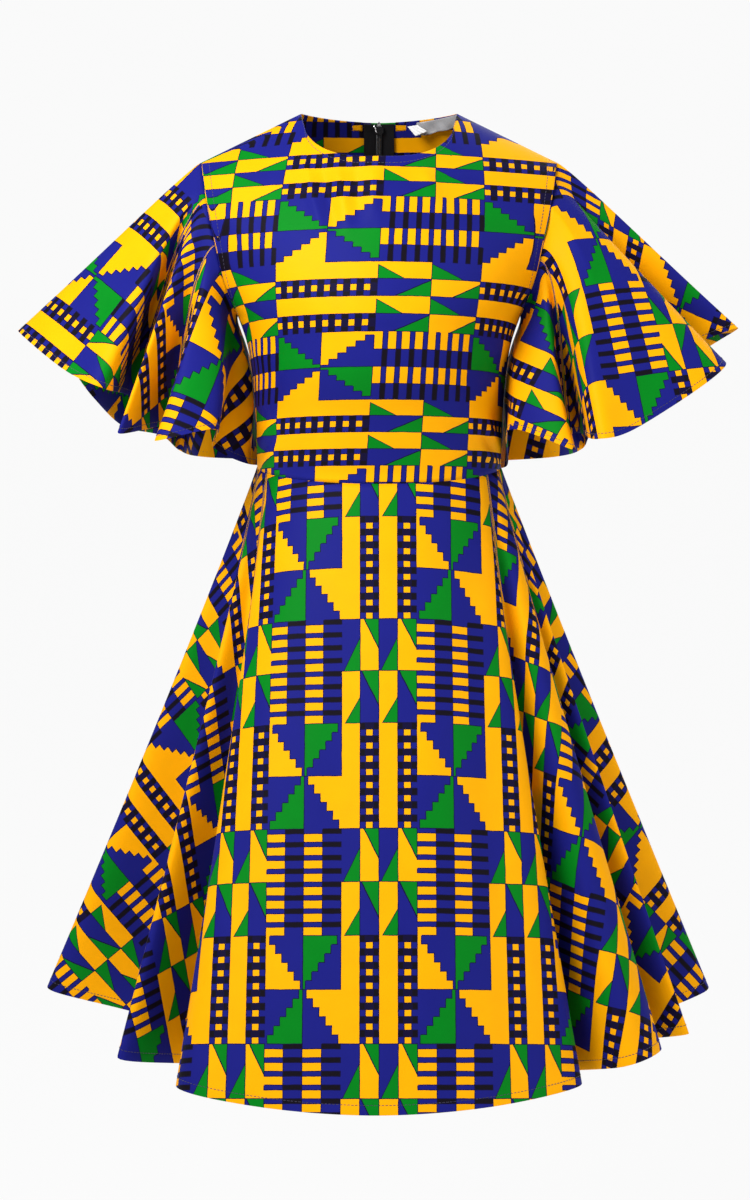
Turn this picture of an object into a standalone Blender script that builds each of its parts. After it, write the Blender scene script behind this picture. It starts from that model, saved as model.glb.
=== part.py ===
"""A knee-length dress of wax print cotton, filled out as if worn, with nobody in it.

Metres, +Z up, the front faces -Y. The origin lies midway between the high points of the
shoulders. "Left" and "right" are the sides as seen from the front, so left is -X.

Every piece of cloth is a wall that follows one smooth outer surface:
the bodice is a stack of ovals that closes over the shoulders, the skirt runs in straight lines
from the waist seam to a folded hem, and each sleeve is a flounce from the armhole to its own
folded hem.
"""

import math

import bmesh
import bpy
import numpy as np

WALL = 0.0012  # thickness of the cotton, its turnings included
SEAM_GAP = 0.0003
STEP = 1e-4  # parameter step for slopes
TINY = 1e-9
WELD = 2e-5  # points nearer than this are one
CREASE_ANGLE = math.radians(50)  # edges sharper than this are shaded sharp

# Neck and shoulders
NECK_HALF = 0.0765
NECK_DROP_FRONT = 0.044
NECK_DROP_BACK = 0.006
NECK_POWER = 3  # how square the front of the neck is
SHOULDER_HALF = 0.174
SHOULDER_DROP = 0.047
SHOULDER_SLOPE = SHOULDER_DROP / (SHOULDER_HALF - NECK_HALF)
FAN_HALF = 0.230  # where the side columns would reach the shoulder line if nothing cut them

# Bodice
UNDERARM_Z = -0.197
WAIST_Z = -0.345
WAIST_DIP = 0.010  # how much lower the waist seam lies at the centre front
SPREAD_START = 1.10  # share of the columns' spread that is even over the chest
CHEST_POWER, CHEST_ROUND = 1.5, 0.78
BACK_POWER, BACK_ROUND = 2.0, 0.67
TORSO = (  # z, half width, front depth, back depth
    (-0.345, 0.1210, 0.098, 0.085),
    (-0.290, 0.1225, 0.112, 0.088),
    (-0.245, 0.1265, 0.129, 0.095),
    (-0.220, 0.1310, 0.132, 0.100),
    (-0.197, 0.1390, 0.134, 0.104),
)
ARMHOLE = (  # z, half width
    (-0.197, 0.139),
    (-0.157, 0.152),
    (-0.129, 0.158),
    (-0.092, 0.166),
    (-0.047, 0.174),
)
NECK_STEPS, SHOULDER_STEPS, ARMHOLE_STEPS = 6, 5, 7
LOWER_ROWS, UPPER_ROWS = 4, 7
EDGE_SHARE = 0.08  # share of a back column that is measured to place its last row
BISECTIONS = 40

# Skirt: each row is a fold line. Its root is an angle round the waist from the centre front,
# and the line runs down to the hem at x, y, with the length that the panel was cut to.
SKIRT_FOLDS = (  # fold, root in degrees, x, y, length
    ("side seam left", -90, -0.322, 0.048, 0.580),
    ("left outer ridge", -86, -0.333, 0.014, 0.580),
    ("left outer valley", -80, -0.216, 0.008, 0.580),
    ("left middle ridge", -73, -0.252, -0.150, 0.586),
    ("left inner valley", -67, -0.170, -0.088, 0.588),
    ("left front ridge", -61, -0.189, -0.228, 0.594),
    ("front facet left", -34, -0.105, -0.262, 0.594),
    ("centre front", 0, 0.000, -0.275, 0.593),
    ("front facet right", 30, 0.105, -0.258, 0.592),
    ("right front ridge", 55, 0.190, -0.208, 0.590),
    ("right inner valley", 61, 0.165, -0.112, 0.588),
    ("right middle ridge", 66, 0.232, -0.188, 0.585),
    ("right second ridge", 71, 0.272, -0.150, 0.582),
    ("right second valley", 75, 0.250, -0.078, 0.580),
    ("right third ridge", 79, 0.303, -0.110, 0.583),
    ("right outer valley", 83, 0.268, -0.020, 0.580),
    ("right outer ridge", 87, 0.336, 0.014, 0.580),
    ("side seam right", 90, 0.320, 0.050, 0.580),
    ("back right outer valley", 95, 0.255, 0.050, 0.580),
    ("back right outer ridge", 101, 0.290, 0.125, 0.582),
    ("back right middle valley", 107, 0.208, 0.095, 0.584),
    ("back right middle ridge", 114, 0.220, 0.195, 0.588),
    ("back right inner valley", 121, 0.148, 0.150, 0.588),
    ("back right inner ridge", 130, 0.130, 0.240, 0.592),
    ("back right facet", 155, 0.060, 0.262, 0.594),
    ("centre back", 180, 0.000, 0.266, 0.594),
    ("back left facet", 205, -0.062, 0.258, 0.594),
    ("back left inner ridge", 229, -0.138, 0.236, 0.592),
    ("back left inner valley", 238, -0.150, 0.142, 0.588),
    ("back left middle ridge", 245, -0.212, 0.202, 0.588),
    ("back left middle valley", 252, -0.205, 0.102, 0.584),
    ("back left outer ridge", 259, -0.294, 0.122, 0.582),
    ("back left outer valley", 265, -0.250, 0.054, 0.580),
)
SKIRT_SIDE_RIGHT = 17  # rows of the table where a seam lies
SKIRT_CENTRE_BACK = 25
SKIRT_STEPS = 4  # columns between two fold lines
SKIRT_ROWS = (0.0, 0.05, 0.13, 0.26, 0.45, 0.7, 1.0)
FOLD_GROWTH = 1.25  # how slowly the folds open below the seam

# Sleeves: each row is a fold line. Its root is a share of the way round the armhole, from the
# underarm over the front to the shoulder (0.5) and down the back, and x is the distance from
# the centre of the dress.
SLEEVE_LEFT_FOLDS = (  # fold, root, x, y, z
    ("underarm", 0.00, 0.128, 0.010, -0.344),
    ("front hollow", 0.07, 0.163, -0.022, -0.325),
    ("front lobe inner edge", 0.13, 0.155, -0.108, -0.302),
    ("front lobe outer edge", 0.19, 0.211, -0.128, -0.312),
    ("second valley inner side", 0.24, 0.200, -0.030, -0.308),
    ("second valley outer side", 0.26, 0.214, -0.030, -0.304),
    ("second lobe", 0.32, 0.249, -0.103, -0.306),
    ("deep valley inner side", 0.375, 0.236, 0.010, -0.284),
    ("deep valley outer side", 0.395, 0.252, 0.010, -0.274),
    ("outer lobe inner edge", 0.43, 0.262, -0.098, -0.264),
    ("outer lobe face", 0.47, 0.303, -0.072, -0.247),
    ("outer tip", 0.51, 0.356, -0.004, -0.211),
    ("back outer lobe", 0.56, 0.322, 0.062, -0.238),
    ("back outer valley", 0.61, 0.288, 0.040, -0.278),
    ("back middle lobe", 0.67, 0.266, 0.124, -0.312),
    ("back middle valley", 0.73, 0.222, 0.062, -0.318),
    ("back inner lobe", 0.80, 0.208, 0.134, -0.338),
    ("back inner valley", 0.87, 0.178, 0.062, -0.340),
    ("back underarm lobe", 0.94, 0.100, 0.098, -0.346),
)
SLEEVE_RIGHT_FOLDS = (  # fold, root, x, y, z
    ("underarm", 0.00, 0.127, 0.012, -0.346),
    ("small lobe inner edge", 0.07, 0.126, -0.078, -0.304),
    ("small lobe outer edge", 0.15, 0.183, -0.132, -0.320),
    ("inner valley inner side", 0.20, 0.180, -0.034, -0.316),
    ("inner valley outer side", 0.22, 0.195, -0.034, -0.310),
    ("big lobe inner edge", 0.27, 0.203, -0.150, -0.309),
    ("big lobe face", 0.34, 0.244, -0.138, -0.298),
    ("big lobe outer edge", 0.41, 0.332, -0.084, -0.242),
    ("outer valley inner side", 0.45, 0.290, 0.000, -0.240),
    ("outer valley outer side", 0.465, 0.300, 0.008, -0.230),
    ("outer tip", 0.51, 0.352, -0.018, -0.208),
    ("back outer lobe", 0.56, 0.326, 0.060, -0.234),
    ("back outer valley", 0.61, 0.286, 0.036, -0.270),
    ("back middle lobe", 0.67, 0.270, 0.120, -0.304),
    ("back middle valley", 0.73, 0.220, 0.066, -0.314),
    ("back inner lobe", 0.80, 0.212, 0.130, -0.336),
    ("back inner valley", 0.87, 0.178, 0.062, -0.340),
    ("back underarm lobe", 0.94, 0.100, 0.098, -0.348),
)
SLEEVE_STEPS = 4
SLEEVE_ROWS = (0.0, 0.03, 0.09, 0.2, 0.38, 0.65, 1.0)
SLEEVE_ROLL = 0.012  # how far the sleeve rolls over its seam before it falls
UNDERARM_CALM, UNDERARM_POWER = 0.85, 8  # how much less it rolls under the arm, and how near
SLEEVE_TOP_SLOPE = 0.002  # share of the way down where the wall's slope at the seam is read

# Zip in the centre-back seam
TAPE_INNER, TAPE_OUTER = 0.0012, 0.0155
TAPE_WALL = 0.0010
TAPE_LINES = 3
TAPE_END = 0.05  # rows below the neck edge where the tapes end
LAYER_GAP = 0.0005  # between a strip and the cloth that it lies on
COIL_HALF, COIL_MIDDLE = 0.0034, 0.0011  # half width, and half of the flat between its edges
COIL_WALL = 0.0016
ZIP_SKIRT_ROWS = 4  # rows of the skirt that the zip runs down
NEAR_COLUMNS = 6  # columns of a panel beside the centre back that the strips cross
NECK_PARTING = 0.0016  # how far each edge draws back from the centre at the top of the zip
SLIDER_HALF_WIDTH, SLIDER_LENGTH, SLIDER_WALL = 0.0044, 0.0092, 0.0024
SLIDER_CORNER, SLIDER_CORNER_STEPS = 0.0016, 3
SLIDER_CLEARANCE = 0.0009  # the round of the neck brings the tapes this much nearer
COIL_END = 1.06  # rows below the neck edge where the coil meets the slider
POST_HALF_WIDTH, POST_LENGTH = 0.0006, 0.0040
POST_RISE = 0.0026  # the post's place over the middle of the slider
EYE_RADIUS, EYE_HOLE, EYE_SIDES = 0.0019, 0.0010, 20
EYE_STAND = 0.0027  # the hinge's height over the cloth
PULL_HALF_WIDTH, PULL_WALL = 0.0036, 0.0010
PULL_BAR = 0.0010
PULL_OUTLINE = (  # distance below the bar's top, and how much narrower than the widest place
    (0.0000, 0.0008),
    (0.0010, 0.0005),
    (0.0064, 0.0004),
    (0.0110, 0.0003),
    (0.0160, 0.0002),
    (0.0205, 0.0000),
    (0.0238, 0.0010),
    (0.0255, 0.0024),
)
PULL_WINDOW_HALF, PULL_WINDOW_LENGTH = 0.0021, 0.0056
PULL_REACH, PULL_TIP_STAND = 0.0230, 0.0026  # how far down its tip hangs, and off the cloth

# Strips inside the back neck
FACING_DEPTH = 0.0100  # the last row of the back panels lies this far below the neck edge
FACING_WALL = 0.0010
LABEL_WALL = 0.0008
# The span of each strip: upper and lower row below the neck edge, and first and last column
# from the centre back
FACING_SPAN = (0.03, 0.99, 1.35, 5.85)
LABEL_SPAN = (0.06, 0.98, 3.15, 5.75)
TAG_SPAN = (1.02, 1.34, 2.20, 3.60)

COLOURS = {
    "print": (0.80, 0.46, 0.03),
    "tape": (0.02, 0.02, 0.025),
    "metal": (0.55, 0.55, 0.57),
    "satin": (0.45, 0.45, 0.47),
    "tag": (0.85, 0.85, 0.84),
}


def clear_scene():
    for thing in list(bpy.data.objects):
        bpy.data.objects.remove(thing, do_unlink=True)


def material(name, kind, metallic=0.0, roughness=0.7):
    made = bpy.data.materials.new(name)
    made.use_nodes = True
    shader = made.node_tree.nodes["Principled BSDF"]
    shader.inputs["Base Color"].default_value = (*COLOURS[kind], 1.0)
    shader.inputs["Metallic"].default_value = metallic
    shader.inputs["Roughness"].default_value = roughness
    return made


def add_object(name, mesh, finish):
    thing = bpy.data.objects.new(name, mesh)
    bpy.context.scene.collection.objects.link(thing)
    mesh.materials.append(finish)
    return thing


def unit(v):
    return v / np.maximum(np.linalg.norm(v, axis=-1, keepdims=True), TINY)


def hermite(at, stations, values):
    """A smooth curve through values at rising stations."""
    stations, values = np.asarray(stations, float), np.asarray(values, float)
    slopes = np.gradient(values, stations)
    at = np.clip(at, stations[0], stations[-1])
    i = np.clip(np.searchsorted(stations, at) - 1, 0, len(stations) - 2)
    width = stations[i + 1] - stations[i]
    k = (at - stations[i]) / width
    return (
        (2 * k**3 - 3 * k**2 + 1) * values[i]
        + (k**3 - 2 * k**2 + k) * width * slopes[i]
        + (3 * k**2 - 2 * k**3) * values[i + 1]
        + (k**3 - k**2) * width * slopes[i + 1]
    )


def torso(z):
    """Half width, front depth and back depth of the bodice's oval at a height."""
    table = np.array(TORSO)
    return [hermite(z, table[:, 0], table[:, i]) for i in (1, 2, 3)]


def shoulder_z(x):
    return -SHOULDER_SLOPE * (np.abs(x) - NECK_HALF)


def waist_z(angle):
    return WAIST_Z - WAIST_DIP * np.maximum(np.cos(angle), 0.0)


def bodice_point(angle, rise, front):
    """A point of the bodice's outer surface. The angle runs from the centre line to the side,
    and the rise is -1 at the waist, 0 at the underarm and 1 on the shoulder line."""
    angle, rise = np.broadcast_arrays(np.asarray(angle, float), np.asarray(rise, float))
    low = np.minimum(rise, 0.0)
    up = np.maximum(rise, 0.0)
    bottom = waist_z(angle) if front else WAIST_Z + 0 * angle
    z_low = UNDERARM_Z + low * (UNDERARM_Z - bottom)
    half, ahead, behind = torso(z_low)
    power, rounding = (CHEST_POWER, CHEST_ROUND) if front else (BACK_POWER, BACK_ROUND)
    depth = -ahead if front else behind
    spread = up * (SPREAD_START + (1 - SPREAD_START) * up)
    x = np.sin(angle) * (half + (FAN_HALF - half) * spread)
    y = depth * np.cos(angle) * (1 - np.minimum(up, 1.0) ** power) ** rounding
    z = np.where(up > 0, UNDERARM_Z + (shoulder_z(x) - UNDERARM_Z) * up, z_low)
    return np.stack([x, y, z], -1)


def bodice_normal(angle, rise, front):
    rise = np.minimum(rise, 1 - 2 * STEP)
    across = bodice_point(angle + STEP, rise, front) - bodice_point(angle - STEP, rise, front)
    along = bodice_point(angle, rise + STEP, front) - bodice_point(angle, rise - STEP, front)
    normal = np.cross(across, along)
    return unit(normal if front else -normal)


def shoulder_normal(x):
    lean = math.atan(SHOULDER_SLOPE)
    return np.array([math.copysign(math.sin(lean), x), 0.0, math.cos(lean)])


def neck_z(x, front):
    share = min(abs(x) / NECK_HALF, 1.0)
    if front:
        return -NECK_DROP_FRONT * math.sqrt(1 - share**NECK_POWER)
    return -NECK_DROP_BACK * (1 - share**2)


def armhole_half(z):
    table = np.array(ARMHOLE)
    return hermite(z, table[:, 0], table[:, 1])


NECK_ANGLE = math.asin(NECK_HALF / FAN_HALF)
SHOULDER_ANGLE = math.asin(SHOULDER_HALF / FAN_HALF)
SIDE_ANGLE = math.pi / 2


def top_rise(angle, front):
    """Where a column of the bodice ends: at the neck, the shoulder seam or the armhole."""
    angle = abs(angle)
    if NECK_ANGLE - TINY <= angle <= SHOULDER_ANGLE + TINY:
        return 1.0
    if angle >= SIDE_ANGLE - TINY:
        return 0.0

    def past(rise):
        x, _, z = bodice_point(angle, rise, front)
        if angle < NECK_ANGLE:
            return z > neck_z(x, front)
        return x > armhole_half(z)

    low, high = 0.0, 1.0
    for _ in range(BISECTIONS):
        middle = (low + high) / 2
        low, high = (low, middle) if past(middle) else (middle, high)
    return low


def bodice_angles():
    """The columns from the centre line to the side, with one at each end of the shoulder seam."""
    neck = np.linspace(0, NECK_ANGLE, NECK_STEPS + 1)
    shoulder = np.linspace(NECK_ANGLE, SHOULDER_ANGLE, SHOULDER_STEPS + 1)
    share = np.linspace(0, 1, ARMHOLE_STEPS + 1)
    arm = SHOULDER_ANGLE + (SIDE_ANGLE - SHOULDER_ANGLE) * share
    return np.concatenate([neck, shoulder[1:], arm[1:]])


def bodice_grids(angles, front):
    """The outer and inner points of a bodice panel, rows from the waist up."""
    outer, inner = [], []
    lower = np.linspace(-1, 0, LOWER_ROWS + 1)
    share = np.linspace(0, 1, UPPER_ROWS + 1)[1:]
    for angle in angles:
        top = top_rise(angle, front)
        if not front:
            below = bodice_point(angle, (1 - EDGE_SHARE) * top, front)
            length = np.linalg.norm(bodice_point(angle, top, front) - below) / EDGE_SHARE
            last = max(1 - FACING_DEPTH / max(length, TINY), (UPPER_ROWS - 1) / UPPER_ROWS)
            share = np.append(np.linspace(0, last, UPPER_ROWS)[1:], 1.0)
        rises = np.concatenate([lower, top * share])
        points = bodice_point(np.full_like(rises, angle), rises, front)
        normals = bodice_normal(np.full_like(rises, angle), rises, front)
        if rises[-1] == 1.0:
            normals[-1] = shoulder_normal(points[-1, 0])
        outer.append(points)
        inner.append(points - WALL * normals)
    return np.array(outer).swapaxes(0, 1), np.array(inner).swapaxes(0, 1)


def draw_back(outer, inner, distance, rows=(), columns=()):
    """Moves the named edge rows and columns into the panel, so that seams keep their gap."""
    for grid in (outer, inner):
        was = grid.copy()
        for row in rows:
            beside = 1 if row == 0 else -2
            grid[row] += distance * unit(was[beside] - was[row])
        for column in columns:
            beside = 1 if column == 0 else -2
            grid[:, column] += distance * unit(was[:, beside] - was[:, column])


def wall(name, outer, inner, finish):
    """A closed wall between two grids of the same shape."""
    rows, columns = outer.shape[:2]
    shell = bmesh.new()
    sides = [
        [[shell.verts.new(grid[r, c]) for c in range(columns)] for r in range(rows)]
        for grid in (outer, inner)
    ]
    rim = [(r, 0) for r in range(rows)]
    rim += [(rows - 1, c) for c in range(1, columns)]
    rim += [(r, columns - 1) for r in range(rows - 2, -1, -1)]
    rim += [(0, c) for c in range(columns - 2, 0, -1)]
    for side, flip in ((sides[0], False), (sides[1], True)):
        for r in range(rows - 1):
            for c in range(columns - 1):
                corners = [side[r][c], side[r][c + 1], side[r + 1][c + 1], side[r + 1][c]]
                shell.faces.new(corners[::-1] if flip else corners)
    for (r, c), (s, d) in zip(rim, rim[1:] + rim[:1]):
        shell.faces.new([sides[0][r][c], sides[0][s][d], sides[1][s][d], sides[1][r][c]])
    bmesh.ops.remove_doubles(shell, verts=shell.verts, dist=WELD)
    bmesh.ops.recalc_face_normals(shell, faces=shell.faces)
    bmesh.ops.triangulate(shell, faces=shell.faces)
    mesh = bpy.data.meshes.new(name)
    shell.to_mesh(mesh)
    shell.free()
    mesh.shade_smooth()
    mesh.set_sharp_from_angle(angle=CREASE_ANGLE)
    return add_object(name, mesh, finish)


def make_bodice():
    """Makes the three panels and returns the points of the back ones, columns from the centre."""
    backs = {}
    half = bodice_angles()
    cloth = material("bodice cotton", "print")
    outer, inner = bodice_grids(np.concatenate([-half[:0:-1], half]), True)
    draw_back(outer, inner, SEAM_GAP / 2, rows=(0, -1), columns=(0, -1))
    wall("bodice_front", outer, inner, cloth)
    for side, sign in (("left", -1), ("right", 1)):
        outer, inner = bodice_grids(sign * half, False)
        backs[side] = (outer.copy(), inner.copy())
        draw_back(outer, inner, SEAM_GAP / 2, rows=(0, -1), columns=(0, -1))
        for grid in (outer, inner):
            height = (grid[:, 0, 2] - grid[-2, 0, 2]) / (grid[-1, 0, 2] - grid[-2, 0, 2])
            grid[:, 0, 0] += sign * NECK_PARTING * np.clip(height, 0, 1)
        wall(f"bodice_back_{side}", outer, inner, cloth)
    return backs


def mean_folds(places):
    """The hem with its folds smoothed away, from each fold line and its two neighbours."""
    return (np.roll(places, 1, 0) + 2 * places + np.roll(places, -1, 0)) / 4


def ring_spline(at, places):
    """A smooth closed curve through places, one step of the parameter for each."""
    count = len(places)
    i = np.floor(at).astype(int)
    k = (at - i)[..., None]
    p0, p1, p2, p3 = (places[(i + j) % count] for j in (-1, 0, 1, 2))
    return 0.5 * (
        2 * p1
        + (p2 - p0) * k
        + (2 * p0 - 5 * p1 + 4 * p2 - p3) * k**2
        + (3 * p1 - p0 - 3 * p2 + p3) * k**3
    )


def rising_spline(at, values, turn):
    """A smooth rising curve through values, which grow by turn in each round."""
    count = len(values)
    lap = np.floor_divide(np.floor(at), count)
    steps = np.diff(np.append(values, values[0] + turn))
    slopes = 2 * steps * np.roll(steps, 1) / (steps + np.roll(steps, 1))
    i = np.floor(at).astype(int) % count
    k = at - np.floor(at)
    j = (i + 1) % count
    return (
        values[i]
        + lap * turn
        + steps[i] * (3 * k**2 - 2 * k**3)
        + slopes[i] * (k**3 - 2 * k**2 + k)
        + slopes[j] * (k**3 - k**2)
    )


def waist_point(angle):
    """The waist seam, with the angle running from the centre front right round."""
    ahead = np.cos(angle) > 0
    half, front, back = torso(WAIST_Z)
    depth = np.where(ahead, -front, back)
    x = half * np.sin(angle)
    y = depth * np.abs(np.cos(angle))
    return np.stack([x, y, waist_z(angle)], -1)


def skirt_hem():
    places = []
    for _, root, x, y, length in SKIRT_FOLDS:
        start = waist_point(math.radians(root))
        drop = math.sqrt(length**2 - (x - start[0]) ** 2 - (y - start[1]) ** 2)
        places.append((x, y, start[2] - drop))
    return np.array(places)


SKIRT_HEM = skirt_hem()
SKIRT_ROOTS = np.radians([row[1] for row in SKIRT_FOLDS])


def skirt_point(at, down):
    """A point of the skirt, at a place among the fold lines and a share of the way down."""
    at, down = np.broadcast_arrays(np.asarray(at, float), np.asarray(down, float))
    start = waist_point(rising_spline(at, SKIRT_ROOTS, 2 * math.pi))
    plain = ring_spline(at, mean_folds(SKIRT_HEM))
    folded = ring_spline(at, SKIRT_HEM)
    down = down[..., None]
    return start + down * (plain - start) + down**FOLD_GROWTH * (folded - plain)


def skirt_normal(at, down):
    down = np.maximum(down, 2 * STEP)
    across = skirt_point(at + STEP, down) - skirt_point(at - STEP, down)
    along = skirt_point(at, down + STEP) - skirt_point(at, down - STEP)
    return unit(np.cross(along, across))


def make_skirt():
    """Makes the three panels and returns the points of the back ones, columns from the centre."""
    backs = {}
    cloth = material("skirt cotton", "print")
    panels = (
        ("skirt_front", 0, SKIRT_SIDE_RIGHT),
        ("skirt_back_right", SKIRT_SIDE_RIGHT, SKIRT_CENTRE_BACK),
        ("skirt_back_left", SKIRT_CENTRE_BACK, len(SKIRT_FOLDS)),
    )
    for name, first, last in panels:
        places = np.linspace(first, last, (last - first) * SKIRT_STEPS + 1)
        at, down = np.meshgrid(places, SKIRT_ROWS)
        outer = skirt_point(at, down)
        inner = outer - WALL * skirt_normal(at, down)
        order = slice(None, None, -1 if first == SKIRT_SIDE_RIGHT else 1)
        backs[name.split("_")[-1]] = (outer[:, order].copy(), inner[:, order].copy())
        draw_back(outer, inner, SEAM_GAP / 2, rows=(0,), columns=(0, -1))
        wall(name, outer, inner, cloth)
    return backs


def armhole_line():
    """The armhole's edge on the right side from the underarm over the front and back again,
    with the direction away from the panel and the panel's outward normal at each point."""
    points, normals = [], []
    half = bodice_angles()
    arm = half[len(half) - ARMHOLE_STEPS - 1 :]
    for front, angles in ((True, arm[::-1]), (False, arm[1:])):
        for angle in angles:
            rise = top_rise(angle, front)
            points.append(bodice_point(angle, rise, front))
            normals.append(bodice_normal(angle, rise, front))
            if rise == 1.0:
                normals[-1] = shoulder_normal(1.0)
    points, normals = np.array(points), np.array(normals)
    normals[-1] = normals[0]
    edge = np.gradient(points, axis=0)
    edge[0] = edge[-1] = points[1] - points[-2]
    away = unit(np.cross(edge, normals))
    return points, away, normals


def along_line(share, line):
    """Points at shares of the length of a line of straight pieces, with what it carries."""
    points = line[0]
    lengths = np.concatenate([[0], np.cumsum(np.linalg.norm(np.diff(points, axis=0), axis=1))])
    at = share * lengths[-1]
    return [
        np.stack([np.interp(at, lengths, part[:, i]) for i in range(3)], -1) for part in line
    ]


def sleeve_surface(folds):
    """The function of place and share down that gives the points of a right-hand sleeve."""
    line = armhole_line()
    hem = np.array([row[2:] for row in folds])
    plain_hem = mean_folds(hem)
    roots = np.array([row[1] for row in folds])

    def point(at, down):
        at, down = np.broadcast_arrays(np.asarray(at, float), np.asarray(down, float))
        share = rising_spline(at, roots, 1.0)
        start, away, normal = along_line(share % 1.0, line)
        lift = np.abs(np.cos(math.pi * share))[..., None]
        roll = unit(unit(away) + lift * unit(normal))
        folded = ring_spline(at, hem)
        plain = ring_spline(at, plain_hem)
        down = np.clip(down, 0, None)[..., None]
        calm = 1 - UNDERARM_CALM * lift**UNDERARM_POWER
        turn = SLEEVE_ROLL * calm * np.sin(math.pi * np.sqrt(np.minimum(down, 1.0)))
        start = start + SEAM_GAP * unit(away)
        return start + roll * turn + down * (plain - start) + down**FOLD_GROWTH * (folded - plain)

    return point


def sleeve_grids(folds):
    point = sleeve_surface(folds)
    places = np.linspace(0, len(folds), len(folds) * SLEEVE_STEPS + 1)
    at, down = np.meshgrid(places, SLEEVE_ROWS)
    near = np.maximum(down, SLEEVE_TOP_SLOPE)
    across = point(at + STEP, near) - point(at - STEP, near)
    along = point(at, near + STEP) - point(at, near - STEP)
    normals = unit(np.cross(along, across))
    outer = point(at, down)
    return outer, outer - WALL * normals


def make_sleeves():
    cloth = material("sleeve cotton", "print")
    for side, sign, folds in (("left", -1, SLEEVE_LEFT_FOLDS), ("right", 1, SLEEVE_RIGHT_FOLDS)):
        outer, inner = sleeve_grids(folds)
        draw_back(outer, inner, SEAM_GAP / 2, columns=(0, -1))
        for grid in (outer, inner):
            grid[..., 0] *= sign
        wall(f"sleeve_{side}", outer, inner, cloth)


def sample(grid, row, column):
    """A point of a grid at a row and column that need not be whole."""
    r, c = (min(int(v), n - 2) for v, n in zip((row, column), grid.shape))
    v, u = row - r, column - c
    near = grid[r, c] * (1 - u) + grid[r, c + 1] * u
    far = grid[r + 1, c] * (1 - u) + grid[r + 1, c + 1] * u
    return near * (1 - v) + far * v


def under(grids, row, column, depth):
    """A point at a depth under the inner face of a panel."""
    outer, inner = (sample(grid, row, column) for grid in grids)
    return inner - depth * unit(outer - inner)


def column_at(grid, row, x):
    """The column where a row of a grid lies at a distance from the centre back."""
    whole = [abs(sample(grid, row, c)[0]) for c in range(NEAR_COLUMNS)]
    return float(np.interp(x, whole, range(NEAR_COLUMNS)))


def zip_rows(bodice, skirt, top_row):
    """The panel and row of each row of the zip, from its lower end up."""
    below = [(skirt, row) for row in range(ZIP_SKIRT_ROWS - 1, -1, -1)]
    above = [(bodice, row) for row in range(int(top_row) + 1)]
    if top_row > int(top_row):
        above.append((bodice, top_row))
    return below + above


def zip_strip(name, rows, spans, depth, thickness, finish):
    """A strip that runs up the inside of the centre back. The spans are distances from the
    centre, each with the side that it lies on."""
    grids = []
    for level in (depth, depth + thickness):
        grid = []
        for panels, row in rows:
            line = []
            for side, x in spans:
                column = column_at(panels[side][0], row, x)
                point = under(panels[side], row, column, level)
                line.append(point)
            grid.append(line)
        grids.append(np.array(grid))
    draw_back(*grids, SEAM_GAP, rows=(0, -1))
    return wall(name, grids[0], grids[1], finish)


def make_zip(bodice, skirt):
    """Makes the tapes and the coil and returns the coil's depth under the inner face."""
    tape = material("zip tape", "tape", roughness=0.8)
    coil = material("zip coil", "tape", roughness=0.4)
    neck_row = LOWER_ROWS + UPPER_ROWS
    rows = zip_rows(bodice, skirt, neck_row - TAPE_END)
    for side in ("left", "right"):
        spans = [(side, x) for x in np.linspace(TAPE_INNER, TAPE_OUTER, TAPE_LINES)]
        zip_strip(f"zip_tape_{side}", rows, spans, LAYER_GAP, TAPE_WALL, tape)
    depth = 2 * LAYER_GAP + TAPE_WALL
    rows = zip_rows(bodice, skirt, neck_row - COIL_END)
    spans = [("left", COIL_HALF), ("left", COIL_MIDDLE)]
    spans += [("right", COIL_MIDDLE), ("right", COIL_HALF)]
    zip_strip("zip_coil", rows, spans, depth, COIL_WALL, coil)
    return depth


def add_block(shell, low, high):
    xs, ys, zs = zip(low, high)
    corners = [shell.verts.new((x, y, z)) for x in xs for y in ys for z in zs]
    for loop in ((0, 1, 3, 2), (4, 6, 7, 5), (0, 4, 5, 1), (2, 3, 7, 6), (0, 2, 6, 4), (1, 5, 7, 3)):
        shell.faces.new([corners[i] for i in loop])


def finish_mesh(name, shell):
    bmesh.ops.recalc_face_normals(shell, faces=shell.faces)
    mesh = bpy.data.meshes.new(name)
    shell.to_mesh(mesh)
    shell.free()
    return mesh


def cylinder_along_x(name, radius, half_length, centre):
    shell = bmesh.new()
    bmesh.ops.create_cone(
        shell,
        cap_ends=True,
        segments=EYE_SIDES,
        radius1=radius,
        radius2=radius,
        depth=2 * half_length,
    )
    for vert in shell.verts:
        x, y, z = vert.co
        vert.co = (z + centre[0], x + centre[1], y + centre[2])
    return finish_mesh(name, shell)


def combine(base, other, operation):
    """Adds or cuts another object by a Boolean, whose result is applied to the base."""
    change = base.modifiers.new(operation.lower(), "BOOLEAN")
    change.operation = operation
    change.object = other
    change.solver = "EXACT"
    evaluated = base.evaluated_get(bpy.context.evaluated_depsgraph_get())
    result = bpy.data.meshes.new_from_object(evaluated)
    base.modifiers.clear()
    base.data = result
    bpy.data.objects.remove(other, do_unlink=True)


def slider_frame(bodice):
    """The middle of the slider's place on the cloth's inner face, and its outward and upward
    directions: it covers the top row of the back panels."""
    inner = bodice["right"][1]
    ends = [inner[row, 0] * (0.0, 1.0, 1.0) for row in (-2, -1)]
    up = unit(ends[1] - ends[0])
    out = np.array([0.0, up[2], -up[1]])
    return (ends[0] + ends[1]) / 2, out, up


def placed(mesh, centre, out, up):
    """Turns a mesh from local -x across, y up along the zip and z out of the cloth."""
    for vert in mesh.vertices:
        x, y, z = vert.co
        vert.co = np.array([-x, 0.0, 0.0]) + centre + y * up + z * out
    mesh.update()


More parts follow.
